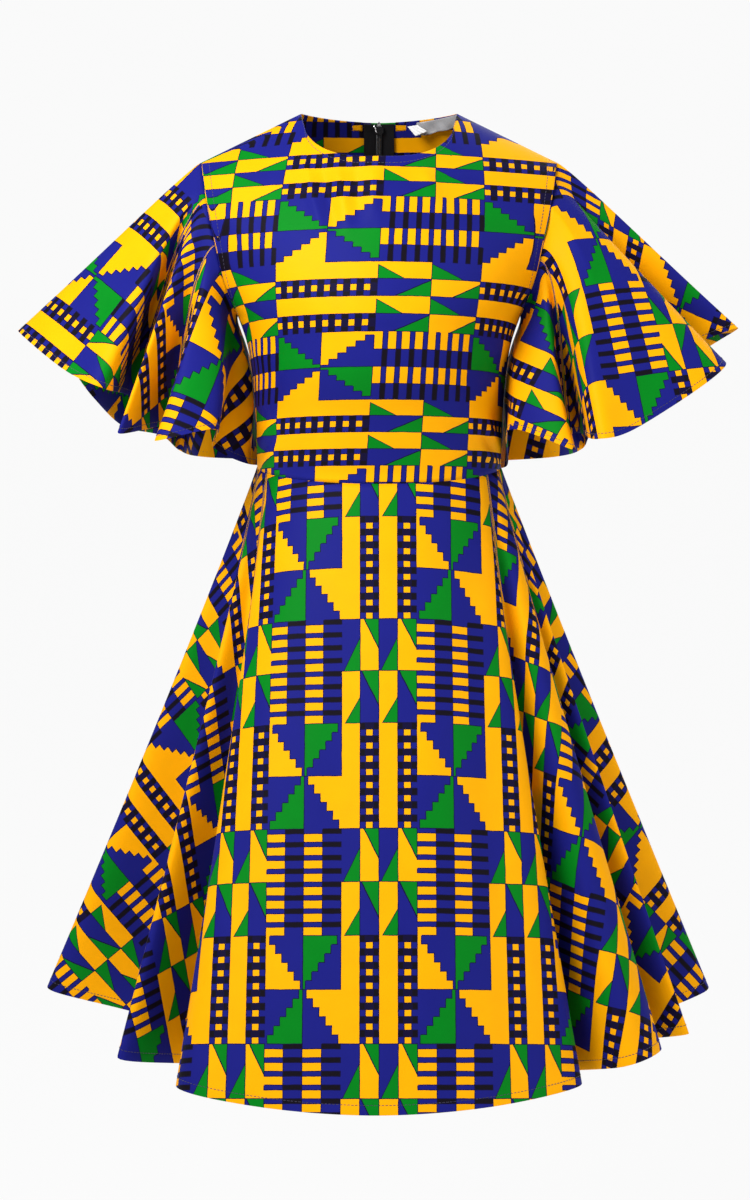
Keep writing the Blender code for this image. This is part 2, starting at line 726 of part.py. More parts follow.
def make_slider(bodice, coil_depth):
    metal = material("zip metal", "metal", metallic=1.0, roughness=0.3)
    centre, out, up = slider_frame(bodice)
    top = -coil_depth - SLIDER_CLEARANCE
    shell = bmesh.new()
    half = SLIDER_LENGTH / 2
    add_block(
        shell,
        (-SLIDER_HALF_WIDTH, -half, top - SLIDER_WALL),
        (SLIDER_HALF_WIDTH, half, top),
    )
    bmesh.ops.bevel(
        shell,
        geom=[e for e in shell.edges if abs(e.verts[0].co.z - e.verts[1].co.z) > SLIDER_WALL / 2],
        offset=SLIDER_CORNER,
        segments=SLIDER_CORNER_STEPS,
        affect="EDGES",
    )
    slider = add_object("zip_slider", finish_mesh("zip_slider", shell), metal)
    eye_height = WALL + EYE_STAND
    post = bmesh.new()
    add_block(
        post,
        (-POST_HALF_WIDTH, POST_RISE - POST_LENGTH / 2, top - SLIDER_WALL / 2),
        (POST_HALF_WIDTH, POST_RISE + POST_LENGTH / 2, eye_height),
    )
    combine(slider, add_object("post", finish_mesh("post", post), metal), "UNION")
    eye = cylinder_along_x("eye", EYE_RADIUS, POST_HALF_WIDTH, (0, POST_RISE, eye_height))
    combine(slider, add_object("eye", eye, metal), "UNION")
    hole = cylinder_along_x("hole", EYE_HOLE, 2 * POST_HALF_WIDTH, (0, POST_RISE, eye_height))
    combine(slider, add_object("hole", hole, metal), "DIFFERENCE")
    placed(slider.data, centre, out, up)
    make_pull(bodice, metal, centre + POST_RISE * up + eye_height * out)


def make_pull(bodice, metal, hinge):
    """The tab: a plate whose top bar turns in the slider's eye."""
    seam = bodice["right"][0][LOWER_ROWS:, 0]
    tip_z = hinge[2] - PULL_REACH
    tip_y = np.interp(tip_z, seam[:, 2], seam[:, 1]) + PULL_TIP_STAND
    down = unit(np.array([0.0, tip_y, tip_z]) - hinge)
    face = np.array([0.0, -down[2], down[1]])
    outline = [(d - PULL_BAR / 2, PULL_HALF_WIDTH - less) for d, less in PULL_OUTLINE]
    outer = [(w, d) for d, w in outline] + [(-w, d) for d, w in reversed(outline)]
    top, bottom = PULL_BAR / 2, PULL_WINDOW_LENGTH
    side = PULL_WINDOW_HALF
    count = len(outline)
    share = np.linspace(0, 1, count)
    window = [(side, top + (bottom - top) * s) for s in share]
    window += [(-side, bottom - (bottom - top) * s) for s in share]
    shell = bmesh.new()
    rings = []
    for height in (-PULL_WALL / 2, PULL_WALL / 2):
        for loop in (outer, window):
            ring = []
            for x, d in loop:
                place = hinge + np.array([x, 0.0, 0.0]) + d * down + height * face
                ring.append(shell.verts.new(place))
            rings.append(ring)
    low_out, low_in, high_out, high_in = rings
    total = len(outer)
    for i in range(total):
        j = (i + 1) % total
        for quad in (
            (low_out[i], low_out[j], low_in[j], low_in[i]),
            (high_in[i], high_in[j], high_out[j], high_out[i]),
            (low_out[j], low_out[i], high_out[i], high_out[j]),
            (low_in[i], low_in[j], high_in[j], high_in[i]),
        ):
            shell.faces.new(quad)
    bmesh.ops.triangulate(shell, faces=shell.faces)
    tab = add_object("zip_pull_tab", finish_mesh("zip_pull_tab", shell), metal)
    pivot = bpy.data.objects.new("zip_pull_pivot", None)
    bpy.context.scene.collection.objects.link(pivot)
    pivot.location = hinge
    for vert in tab.data.vertices:
        vert.co -= pivot.location
    tab.parent = pivot


def neck_strip(name, panel, span, depth, thickness, finish):
    """A strip under the edge of the back neck, made from the panel's own points."""
    neck_row = LOWER_ROWS + UPPER_ROWS
    upper, lower, first, last = span
    rows = [neck_row - lower, neck_row - upper]
    inside = range(math.floor(first) + 1, math.ceil(last))
    columns = [first, *inside, last]
    grids = [
        np.array([[under(panel, row, column, level) for column in columns] for row in rows])
        for level in (depth, depth + thickness)
    ]
    wall(name, grids[0], grids[1], finish)


def make_neck_strips(bodice):
    cloth = material("facing cotton", "print")
    satin = material("label satin", "satin", roughness=0.35)
    paper = material("tag", "tag", roughness=0.8)
    for side in ("left", "right"):
        name = f"neck_facing_{side}"
        neck_strip(name, bodice[side], FACING_SPAN, LAYER_GAP, FACING_WALL, cloth)
    level = 2 * LAYER_GAP + FACING_WALL
    neck_strip("neck_label", bodice["right"], LABEL_SPAN, level, LABEL_WALL, satin)
    neck_strip("label_tag", bodice["right"], TAG_SPAN, LAYER_GAP, LABEL_WALL, paper)


def main():
    clear_scene()
    bodice = make_bodice()
    skirt = make_skirt()
    make_sleeves()
    coil_depth = make_zip(bodice, skirt)
    make_slider(bodice, coil_depth)
    make_neck_strips(bodice)


main()
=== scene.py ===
"""The looks of a knee-length wax print dress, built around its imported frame.

Metres, +Z up, the front faces -Y, and left is -X as seen from the front. Each piece of cloth is
a thin shell on the form of its solid, with the creases, hems and stitching of the real one. Its
UV map, "cut", holds the place of each point in the flat print, in metres: x runs across the
print and y runs down it.
"""

import sys
import logging
import math
from dataclasses import dataclass, field
from enum import Enum
from typing import Callable, NamedTuple, Sequence

import bmesh
import bpy
import numpy as np
from mathutils import Matrix, Vector


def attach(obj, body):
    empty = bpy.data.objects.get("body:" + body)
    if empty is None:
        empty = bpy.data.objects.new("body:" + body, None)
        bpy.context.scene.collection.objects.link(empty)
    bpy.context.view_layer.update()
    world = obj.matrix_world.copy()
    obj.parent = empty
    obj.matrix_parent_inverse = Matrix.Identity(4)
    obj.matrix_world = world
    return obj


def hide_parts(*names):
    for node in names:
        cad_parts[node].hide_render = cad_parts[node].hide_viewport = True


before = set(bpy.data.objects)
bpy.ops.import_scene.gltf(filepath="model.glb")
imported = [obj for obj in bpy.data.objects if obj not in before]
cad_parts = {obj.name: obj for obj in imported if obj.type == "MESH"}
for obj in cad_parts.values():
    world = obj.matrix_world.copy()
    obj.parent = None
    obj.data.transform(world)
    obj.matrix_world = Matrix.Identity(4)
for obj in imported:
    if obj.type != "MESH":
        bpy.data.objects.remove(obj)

Array = np.ndarray
Surface = Callable[[Array, Array], Array]

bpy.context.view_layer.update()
DRESS_BODY = "dress"
PULL_BODY = "zip_pull"
CUT_MAP = "cut"
STEP = 1e-4
TINY = 1e-9

log = logging.getLogger("dress")


class Slot(Enum):
    """The names of the material slots."""

    PRINT = "wax_print"
    TAPE = "zip_tape"
    COIL = "zip_coil"
    METAL = "zip_metal"
    SATIN = "label_satin"
    TAG = "label_tag"


class Side(Enum):
    """A side of the dress as seen from the front, with the sign of its x."""

    LEFT = -1
    RIGHT = 1

    @property
    def word(self) -> str:
        """The side's name in lower case."""
        return self.name.lower()


def unit(v: Array) -> Array:
    """Vectors scaled to length 1."""
    return v / np.maximum(np.linalg.norm(v, axis=-1, keepdims=True), TINY)


def hermite(at: Array, stations: Array, values: Array) -> Array:
    """A smooth curve through values at rising stations.

    Args:
        at: The places to read.
        stations: The places of the values.
        values: The values.

    Returns:
        The curve's values at those places.
    """
    slopes = np.gradient(values, stations)
    at = np.clip(at, stations[0], stations[-1])
    i = np.clip(np.searchsorted(stations, at) - 1, 0, len(stations) - 2)
    width = stations[i + 1] - stations[i]
    k = (at - stations[i]) / width
    return (
        (2 * k**3 - 3 * k**2 + 1) * values[i]
        + (k**3 - 2 * k**2 + k) * width * slopes[i]
        + (3 * k**2 - 2 * k**3) * values[i + 1]
        + (k**3 - k**2) * width * slopes[i + 1]
    )


def ring_spline(at: Array, places: Array) -> Array:
    """A smooth closed curve through places, one step of the parameter for each."""
    count = len(places)
    i = np.floor(at).astype(int)
    k = (at - i)[..., None]
    p0, p1, p2, p3 = (places[(i + j) % count] for j in (-1, 0, 1, 2))
    return 0.5 * (
        2 * p1
        + (p2 - p0) * k
        + (2 * p0 - 5 * p1 + 4 * p2 - p3) * k**2
        + (3 * p1 - p0 - 3 * p2 + p3) * k**3
    )


def rising_spline(at: Array, values: Array, turn: float) -> Array:
    """A smooth rising curve through values, which grow by turn in each round."""
    count = len(values)
    lap = np.floor_divide(np.floor(at), count)
    steps = np.diff(np.append(values, values[0] + turn))
    slopes = 2 * steps * np.roll(steps, 1) / (steps + np.roll(steps, 1))
    i = np.floor(at).astype(int) % count
    k = at - np.floor(at)
    j = (i + 1) % count
    return (
        values[i]
        + lap * turn
        + steps[i] * (3 * k**2 - 2 * k**3)
        + slopes[i] * (k**3 - 2 * k**2 + k)
        + slopes[j] * (k**3 - k**2)
    )


def mean_folds(places: Array) -> Array:
    """The hem with its folds smoothed away, from each fold line and its two neighbours."""
    return (np.roll(places, 1, 0) + 2 * places + np.roll(places, -1, 0)) / 4


def surface_normals(point: Surface, a: Array, b: Array) -> Array:
    """Normals of a surface from its slopes.

    Args:
        point: The function that gives the surface's points.
        a: First parameter, which runs to the right as seen from outside.
        b: Second parameter, which runs down.

    Returns:
        Unit vectors out of the surface.
    """
    across = point(a + STEP, b) - point(a - STEP, b)
    along = point(a, b + STEP) - point(a, b - STEP)
    return unit(np.cross(along, across))


class Crease(NamedTuple):
    """A soft ridge or trough between two places of the front view, in metres."""

    x0: float
    z0: float
    x1: float
    z1: float
    width: float
    height: float


@dataclass
class Relief:
    """The small creases of a piece of cloth, which move its surface along its normals."""

    creases: Sequence[Crease] = ()
    facing: float = -1.0

    def height(self, points: Array, normals: Array) -> Array:
        """How far each point moves out.

        Args:
            points: Points of the smooth surface.
            normals: Its normals there.

        Returns:
            A distance for each point.
        """
        total = np.zeros(points.shape[:-1])
        for crease in self.creases:
            start = np.array([crease.x0, crease.z0])
            run = np.array([crease.x1, crease.z1]) - start
            flat = points[..., (0, 2)] - start
            share = np.clip(flat @ run / (run @ run), 0, 1)
            apart = np.linalg.norm(flat - share[..., None] * run, axis=-1)
            taper = 0.35 + 0.65 * np.sin(math.pi * share)
            total += crease.height * taper * np.exp(-((apart / crease.width) ** 2))
        return total * np.clip(self.facing * normals[..., 1] * 3, 0, 1)


@dataclass
class ClothGrid:
    """One piece of cloth as rows and columns of points of its outer face.

    The cut is each point's place in the print, and the spread is the width and the length of
    the piece laid flat.
    """

    points: Array
    normals: Array
    cut: Array
    thickness: Array
    spread: Sequence[float]

    def area(self) -> float:
        """The area of one face in square metres."""
        p = self.points
        first = np.cross(p[1:, :-1] - p[:-1, :-1], p[:-1, 1:] - p[:-1, :-1])
        second = np.cross(p[1:, :-1] - p[1:, 1:], p[:-1, 1:] - p[1:, 1:])
        return float(np.linalg.norm(first, axis=-1).sum() + np.linalg.norm(second, axis=-1).sum()) / 2


def cloth_shell(name: str, grid: ClothGrid) -> bpy.types.Object:
    """A closed thin shell from a grid.

    Args:
        name: The new object's name.
        grid: The outer face with its thickness and its places in the cut.

    Returns:
        The shell, shaded smooth, with its UV map.
    """
    rows, columns = grid.points.shape[:2]
    middle = grid.points - grid.thickness.max() / 2 * grid.normals
    half = (grid.thickness / 2)[..., None] * grid.normals
    verts = np.concatenate([(middle + half).reshape(-1, 3), (middle - half).reshape(-1, 3)])
    index = np.arange(rows * columns).reshape(rows, columns)
    quads = np.stack([index[:-1, :-1], index[1:, :-1], index[1:, 1:], index[:-1, 1:]], -1)
    quads = quads.reshape(-1, 4)
    rim = np.concatenate([index[:, 0], index[-1, 1:], index[-2::-1, -1], index[0, -2:0:-1]])
    after = np.roll(rim, -1)
    shift = rows * columns
    sides = np.stack([rim, rim + shift, after + shift, after], -1)
    faces = np.concatenate([quads, quads[:, ::-1] + shift, sides])
    corner = grid.points[0, 0], grid.points[1, 0], grid.points[0, 1]
    outward = np.cross(corner[1] - corner[0], corner[2] - corner[0]) @ grid.normals[0, 0]
    if outward < 0:
        faces = faces[:, ::-1]
    mesh = bpy.data.meshes.new(name)
    mesh.from_pydata(verts.tolist(), [], faces.tolist())
    cut = np.tile(grid.cut.reshape(-1, 2), (2, 1))
    layer = mesh.uv_layers.new(name=CUT_MAP)
    loops = np.zeros(len(mesh.loops), int)
    mesh.loops.foreach_get("vertex_index", loops)
    layer.data.foreach_set("uv", cut[loops].astype(np.float32).ravel())
    mesh.shade_smooth()
    thing = bpy.data.objects.new(name, mesh)
    bpy.context.scene.collection.objects.link(thing)
    return thing


def edge_shares(count: int, length: float, thickness: float) -> tuple[Array, Array]:
    """Rows from a seam to an open edge that is rounded off.

    Args:
        count: The number of even rows.
        length: How long the cloth is.
        thickness: How thick it is at the edge.

    Returns:
        The share of the way for each row, and the share of the full thickness there.
    """
    rim = thickness / 2 / length
    shares = np.append(np.linspace(0, 1 - rim, count), [1 - 0.4 * rim, 1 - 0.1 * rim, 1.0])
    round_off = np.append(np.ones(count), [0.8, 0.45, 0.15])
    return shares, round_off


def third_corner(a: Array, b: Array, from_a: float, from_b: float, side: int) -> Array:
    """The corner of a flat triangle.

    Args:
        a: The first corner.
        b: The second corner.
        from_a: The third corner's distance from the first.
        from_b: The third corner's distance from the second.
        side: 1 where it lies to the right of the way down from a to b, otherwise -1.

    Returns:
        The third corner.
    """
    run = b - a
    length = np.linalg.norm(run)
    along = (from_a**2 - from_b**2 + length**2) / (2 * length)
    off = math.sqrt(max(from_a**2 - along**2, 0.0))
    ahead = run / length
    return a + along * ahead + side * off * np.array([-ahead[1], ahead[0]])


def unroll(points: Array, middle: int) -> Array:
    """Lays a piece that is ruled from its first row to its last out flat.

    Args:
        points: Rows and columns of points, columns to the right as seen from outside.
        middle: The column that hangs straight down in the result, from the origin.

    Returns:
        The flat place of each point, x to the right and y up.
    """
    columns = points.shape[1]
    top, bottom = points[0], points[-1]
    length = np.linalg.norm(bottom - top, axis=-1)
    ends = np.zeros((2, columns, 2))
    ends[1, middle] = (0.0, -length[middle])
    for side, order in ((1, range(middle, columns - 1)), (-1, range(middle, 0, -1))):
        for c in order:
            n = c + side
            a, b = ends[0, c], ends[1, c]
            over = np.linalg.norm(top[n] - top[c])
            slant = np.linalg.norm(top[n] - bottom[c])
            under = np.linalg.norm(bottom[n] - bottom[c])
            ends[0, n] = third_corner(a, b, over, slant, side)
            ends[1, n] = third_corner(ends[0, n], b, length[n], under, side)
    runs = np.linalg.norm(np.diff(points, axis=0), axis=-1)
    share = np.concatenate([np.zeros((1, columns)), np.cumsum(runs, axis=0)])
    share = (share / share[-1])[..., None]
    return ends[0] * (1 - share) + ends[1] * share


@dataclass(frozen=True)
class PrintChart:
    """The sizes of the print: a block of columns and modules that repeats both ways."""

    column: float = 0.0178
    module: float = 0.0124
    columns: int = 8
    modules: int = 16
    outline: float = 0.0008
    steps: int = 6
    step_start: float = 0.6
    rung_gap: float = 0.37
    square_side: float = 0.22
    square_half: float = 0.19


CHART = PrintChart()


class Placement(NamedTuple):
    """How the print lies on a stretch of a piece that hangs from fold lines.

    One place of the cloth is given by its fold line and its share of the way down, then the
    print's column and module there, how far the print's columns turn from the fold line,
    counter-clockwise as seen from outside, the fold line where the next stretch begins and the
    scale of the cloth to the print, which stretches a little on the bias.
    """

    fold: float
    down: float
    column: float
    module: float
    turn_deg: float
    until: float = 99.0
    scale: float = 1.0


def print_places(
    flat: Array, folds: Array, shares: Array, placements: Sequence[Placement], blend: float = 0.5
) -> Array:
    """The place in the print of each point of a piece.

    Args:
        flat: The piece laid flat, x to the right and y up.
        folds: The fold line of each column.
        shares: The share of the way down of each row.
        placements: The stretches of the piece, in the order of its columns.
        blend: How many fold lines one stretch takes to pass into the next.

    Returns:
        Metres across and down the print.
    """
    total = np.zeros_like(flat)
    begun = np.ones(len(folds))
    for placement in placements:
        column = int(np.argmin(np.abs(folds - placement.fold)))
        row = int(np.argmin(np.abs(shares - placement.down)))
        run = unit(flat[-1, column] - flat[0, column])
        angle = math.radians(placement.turn_deg)
        down = np.array([
            math.cos(angle) * run[0] - math.sin(angle) * run[1],
            math.sin(angle) * run[0] + math.cos(angle) * run[1],
        ])
        across = np.array([-down[1], down[0]])
        apart = (flat - flat[row, column]) * placement.scale
        place = np.stack([apart @ across, apart @ down], -1)
        place += np.array([placement.column * CHART.column, placement.module * CHART.module])
        passed = np.clip((folds - placement.until) / blend + 0.5, 0, 1)
        passed = passed * passed * (3 - 2 * passed)
        total += place * (begun - passed)[None, :, None]
        begun = passed
    return total


@dataclass
class BodiceForm:
    """The smooth outer surface of the bodice: ovals that close over the shoulders."""

    neck_half: float = 0.0765
    neck_drop_front: float = 0.044
    neck_drop_back: float = 0.006
    neck_power: int = 3
    shoulder_half: float = 0.174
    shoulder_drop: float = 0.047
    fan_half: float = 0.230
    underarm_z: float = -0.197
    waist_level: float = -0.345
    waist_dip: float = 0.010
    spread_start: float = 1.10
    chest: tuple[float, float] = (1.5, 0.78)
    back: tuple[float, float] = (2.0, 0.67)
    torso_rows: tuple[tuple[float, ...], ...] = (
        (-0.345, 0.1210, 0.098, 0.085),
        (-0.290, 0.1225, 0.112, 0.088),
        (-0.245, 0.1265, 0.129, 0.095),
        (-0.220, 0.1310, 0.132, 0.100),
        (-0.197, 0.1390, 0.134, 0.104),
    )
    armhole_rows: tuple[tuple[float, float], ...] = (
        (-0.197, 0.139),
        (-0.157, 0.152),
        (-0.129, 0.158),
        (-0.092, 0.166),
        (-0.047, 0.174),
    )

    @property
    def neck_angle(self) -> float:
        """The column that ends at the neck's high point."""
        return math.asin(self.neck_half / self.fan_half)

    @property
    def shoulder_angle(self) -> float:
        """The column that ends at the shoulder's outer end."""
        return math.asin(self.shoulder_half / self.fan_half)

    @property
    def shoulder_slope(self) -> float:
        """How steeply the shoulder seam falls."""
        return self.shoulder_drop / (self.shoulder_half - self.neck_half)

    def torso(self, z: Array) -> list[Array]:
        """Half width, front depth and back depth of the bodice's oval at a height."""
        table = np.array(self.torso_rows)
        return [hermite(z, table[:, 0], table[:, i]) for i in (1, 2, 3)]

    def shoulder_z(self, x: Array) -> Array:
        """The shoulder line's height at a distance from the centre."""
        return -self.shoulder_slope * (np.abs(x) - self.neck_half)

    def waist_z(self, angle: Array) -> Array:
        """The waist seam's height at an angle from the centre front."""
        return self.waist_level - self.waist_dip * np.maximum(np.cos(angle), 0.0)

    def point(self, angle: Array, rise: Array, front: bool) -> Array:
        """A point of the surface.

        Args:
            angle: From the centre line to the side, in radians.
            rise: -1 at the waist, 0 at the underarm and 1 on the shoulder line.
            front: Whether it is on the front.

        Returns:
            The point.
        """
        angle, rise = np.broadcast_arrays(np.asarray(angle, float), np.asarray(rise, float))
        low, up = np.minimum(rise, 0.0), np.maximum(rise, 0.0)
        bottom = self.waist_z(angle) if front else self.waist_level + 0 * angle
        z_low = self.underarm_z + low * (self.underarm_z - bottom)
        half, ahead, behind = self.torso(z_low)
        power, rounding = self.chest if front else self.back
        depth = -ahead if front else behind
        spread = up * (self.spread_start + (1 - self.spread_start) * up)
        x = np.sin(angle) * (half + (self.fan_half - half) * spread)
        y = depth * np.cos(angle) * (1 - np.minimum(up, 1.0) ** power) ** rounding
        rise_z = self.underarm_z + (self.shoulder_z(x) - self.underarm_z) * up
        return np.stack([x, y, np.where(up > 0, rise_z, z_low)], -1)

    def normal(self, angle: Array, rise: Array, front: bool) -> Array:
        """The unit normal out of the surface at a point."""
        rise = np.minimum(rise, 1 - 2 * STEP)
        across = self.point(angle + STEP, rise, front) - self.point(angle - STEP, rise, front)
        along = self.point(angle, rise + STEP, front) - self.point(angle, rise - STEP, front)
        normal = np.cross(across, along)
        return unit(normal if front else -normal)

    def shoulder_normal(self, x: float) -> Array:
        """The direction straight out of the shoulder seam."""
        lean = math.atan(self.shoulder_slope)
        return np.array([math.copysign(math.sin(lean), x), 0.0, math.cos(lean)])

    def neck_z(self, x: float, front: bool) -> float:
        """The height of the neck's edge at a distance from the centre."""
        share = min(abs(x) / self.neck_half, 1.0)
        if front:
            return -self.neck_drop_front * math.sqrt(1 - share**self.neck_power)
        return -self.neck_drop_back * (1 - share**2)

    def armhole_half(self, z: float) -> float:
        """How far out the armhole's edge lies at a height."""
        table = np.array(self.armhole_rows)
        return float(hermite(z, table[:, 0], table[:, 1]))

    def top_rise(self, angle: float, front: bool) -> float:
        """Where a column ends: at the neck, the shoulder seam or the armhole."""
        angle = abs(angle)
        if self.neck_angle - TINY <= angle <= self.shoulder_angle + TINY:
            return 1.0
        if angle >= math.pi / 2 - TINY:
            return 0.0
        low, high = 0.0, 1.0
        for _ in range(24):
            middle = (low + high) / 2
            x, _, z = self.point(angle, middle, front)
            past = z > self.neck_z(x, front) if angle < self.neck_angle else x > self.armhole_half(z)
            low, high = (low, middle) if past else (middle, high)
        return low

    def waist_point(self, angle: Array) -> Array:
        """The waist seam, with the angle running from the centre front right round."""
        half, front, back = self.torso(np.asarray(self.waist_level))
        depth = np.where(np.cos(angle) > 0, -front, back)
        x = half * np.sin(angle)
        return np.stack([x, depth * np.abs(np.cos(angle)), self.waist_z(angle)], -1)

    def half_angles(self, neck: int, shoulder: int, arm: int) -> Array:
        """The columns from the centre line to the side, with one at each end of the shoulder."""
        first = np.linspace(0, self.neck_angle, neck + 1)
        second = np.linspace(self.neck_angle, self.shoulder_angle, shoulder + 1)
        third = np.linspace(self.shoulder_angle, math.pi / 2, arm + 1)
        return np.concatenate([first, second[1:], third[1:]])


FORM = BodiceForm()


class SkirtFold(NamedTuple):
    """A fold line of the skirt: its root round the waist, its end at the hem and its length."""

    name: str
    root_deg: float
    x: float
    y: float
    length: float


SKIRT_FOLDS = (
    SkirtFold("side seam left", -90, -0.322, 0.048, 0.580),
    SkirtFold("left outer ridge", -86, -0.333, 0.014, 0.580),
    SkirtFold("left outer valley", -80, -0.216, 0.008, 0.580),
    SkirtFold("left middle ridge", -73, -0.252, -0.150, 0.586),
    SkirtFold("left inner valley", -67, -0.170, -0.088, 0.588),
    SkirtFold("left front ridge", -61, -0.189, -0.228, 0.594),
    SkirtFold("front facet left", -34, -0.105, -0.262, 0.594),
    SkirtFold("centre front", 0, 0.000, -0.275, 0.593),
    SkirtFold("front facet right", 30, 0.105, -0.258, 0.592),
    SkirtFold("right front ridge", 55, 0.190, -0.208, 0.590),
    SkirtFold("right inner valley", 61, 0.165, -0.112, 0.588),
    SkirtFold("right middle ridge", 66, 0.232, -0.188, 0.585),
    SkirtFold("right second ridge", 71, 0.272, -0.150, 0.582),
    SkirtFold("right second valley", 75, 0.250, -0.078, 0.580),
    SkirtFold("right third ridge", 79, 0.303, -0.110, 0.583),
    SkirtFold("right outer valley", 83, 0.268, -0.020, 0.580),
    SkirtFold("right outer ridge", 87, 0.336, 0.014, 0.580),
    SkirtFold("side seam right", 90, 0.320, 0.050, 0.580),
    SkirtFold("back right outer valley", 95, 0.255, 0.050, 0.580),
    SkirtFold("back right outer ridge", 101, 0.290, 0.125, 0.582),
    SkirtFold("back right middle valley", 107, 0.208, 0.095, 0.584),
    SkirtFold("back right middle ridge", 114, 0.220, 0.195, 0.588),
    SkirtFold("back right inner valley", 121, 0.148, 0.150, 0.588),
    SkirtFold("back right inner ridge", 130, 0.130, 0.240, 0.592),
    SkirtFold("back right facet", 155, 0.060, 0.262, 0.594),
    SkirtFold("centre back", 180, 0.000, 0.266, 0.594),
    SkirtFold("back left facet", 205, -0.062, 0.258, 0.594),
    SkirtFold("back left inner ridge", 229, -0.138, 0.236, 0.592),
    SkirtFold("back left inner valley", 238, -0.150, 0.142, 0.588),
    SkirtFold("back left middle ridge", 245, -0.212, 0.202, 0.588),
    SkirtFold("back left middle valley", 252, -0.205, 0.102, 0.584),
    SkirtFold("back left outer ridge", 259, -0.294, 0.122, 0.582),
    SkirtFold("back left outer valley", 265, -0.250, 0.054, 0.580),
)


@dataclass
class SkirtForm:
    """The smooth outer surface of the skirt: lines from the waist seam to a folded hem."""

    folds: tuple[SkirtFold, ...] = SKIRT_FOLDS
    growth: float = 1.25
    side_left: int = 0
    centre_front: int = 7
    side_right: int = 17
    centre_back: int = 25
    roots: Array = field(init=False)
    hem: Array = field(init=False)
    plain: Array = field(init=False)

    def __post_init__(self) -> None:
        """Works out where each fold line meets the hem."""
        self.roots = np.radians([fold.root_deg for fold in self.folds])
        places = []
        for fold, start in zip(self.folds, FORM.waist_point(self.roots)):
            reach = (fold.x - start[0]) ** 2 + (fold.y - start[1]) ** 2
            places.append((fold.x, fold.y, start[2] - math.sqrt(fold.length**2 - reach)))
        self.hem = np.array(places)
        self.plain = mean_folds(self.hem)

    def point(self, at: Array, down: Array) -> Array:
        """A point at a place among the fold lines and a share of the way down."""
        at, down = np.broadcast_arrays(np.asarray(at, float), np.asarray(down, float))
        start = FORM.waist_point(rising_spline(at, self.roots, 2 * math.pi))
        plain = ring_spline(at, self.plain)
        folded = ring_spline(at, self.hem)
        down = np.maximum(down, 0.0)[..., None]
        return start + down * (plain - start) + down**self.growth * (folded - plain)

    def normal(self, at: Array, down: Array) -> Array:
        """The unit normal out of the surface at a point."""
        return surface_normals(self.point, at, np.maximum(down, 2 * STEP))


class SleeveFold(NamedTuple):
    """A fold line of a sleeve: its root as a share of the way round the armhole, from the
    underarm over the front to the shoulder and down the back, and its end at the hem, with x
    the distance from the centre of the dress."""

    name: str
    root: float
    x: float
    y: float
    z: float


SLEEVE_LEFT_FOLDS = (
    SleeveFold("underarm", 0.00, 0.128, 0.010, -0.344),
    SleeveFold("front hollow", 0.07, 0.163, -0.022, -0.325),
    SleeveFold("front lobe inner edge", 0.13, 0.155, -0.108, -0.302),
    SleeveFold("front lobe outer edge", 0.19, 0.211, -0.128, -0.312),
    SleeveFold("second valley inner side", 0.24, 0.200, -0.030, -0.308),
    SleeveFold("second valley outer side", 0.26, 0.214, -0.030, -0.304),
    SleeveFold("second lobe", 0.32, 0.249, -0.103, -0.306),
    SleeveFold("deep valley inner side", 0.375, 0.236, 0.010, -0.284),
    SleeveFold("deep valley outer side", 0.395, 0.252, 0.010, -0.274),
    SleeveFold("outer lobe inner edge", 0.43, 0.262, -0.098, -0.264),
    SleeveFold("outer lobe face", 0.47, 0.303, -0.072, -0.247),
    SleeveFold("outer tip", 0.51, 0.356, -0.004, -0.211),
    SleeveFold("back outer lobe", 0.56, 0.322, 0.062, -0.238),
    SleeveFold("back outer valley", 0.61, 0.288, 0.040, -0.278),
    SleeveFold("back middle lobe", 0.67, 0.266, 0.124, -0.312),
    SleeveFold("back middle valley", 0.73, 0.222, 0.062, -0.318),
    SleeveFold("back inner lobe", 0.80, 0.208, 0.134, -0.338),
    SleeveFold("back inner valley", 0.87, 0.178, 0.062, -0.340),
    SleeveFold("back underarm lobe", 0.94, 0.100, 0.098, -0.346),
)
SLEEVE_RIGHT_FOLDS = (
    SleeveFold("underarm", 0.00, 0.127, 0.012, -0.346),
    SleeveFold("small lobe inner edge", 0.07, 0.126, -0.078, -0.304),
    SleeveFold("small lobe outer edge", 0.15, 0.183, -0.132, -0.320),
    SleeveFold("inner valley inner side", 0.20, 0.180, -0.034, -0.316),
    SleeveFold("inner valley outer side", 0.22, 0.195, -0.034, -0.310),
    SleeveFold("big lobe inner edge", 0.27, 0.203, -0.150, -0.309),
    SleeveFold("big lobe face", 0.34, 0.244, -0.138, -0.298),
    SleeveFold("big lobe outer edge", 0.41, 0.332, -0.084, -0.242),
    SleeveFold("outer valley inner side", 0.45, 0.290, 0.000, -0.240),
    SleeveFold("outer valley outer side", 0.465, 0.300, 0.008, -0.230),
    SleeveFold("outer tip", 0.51, 0.352, -0.018, -0.208),
    SleeveFold("back outer lobe", 0.56, 0.326, 0.060, -0.234),
    SleeveFold("back outer valley", 0.61, 0.286, 0.036, -0.270),
    SleeveFold("back middle lobe", 0.67, 0.270, 0.120, -0.304),
    SleeveFold("back middle valley", 0.73, 0.220, 0.066, -0.314),
    SleeveFold("back inner lobe", 0.80, 0.212, 0.130, -0.336),
    SleeveFold("back inner valley", 0.87, 0.178, 0.062, -0.340),
    SleeveFold("back underarm lobe", 0.94, 0.100, 0.098, -0.348),
)


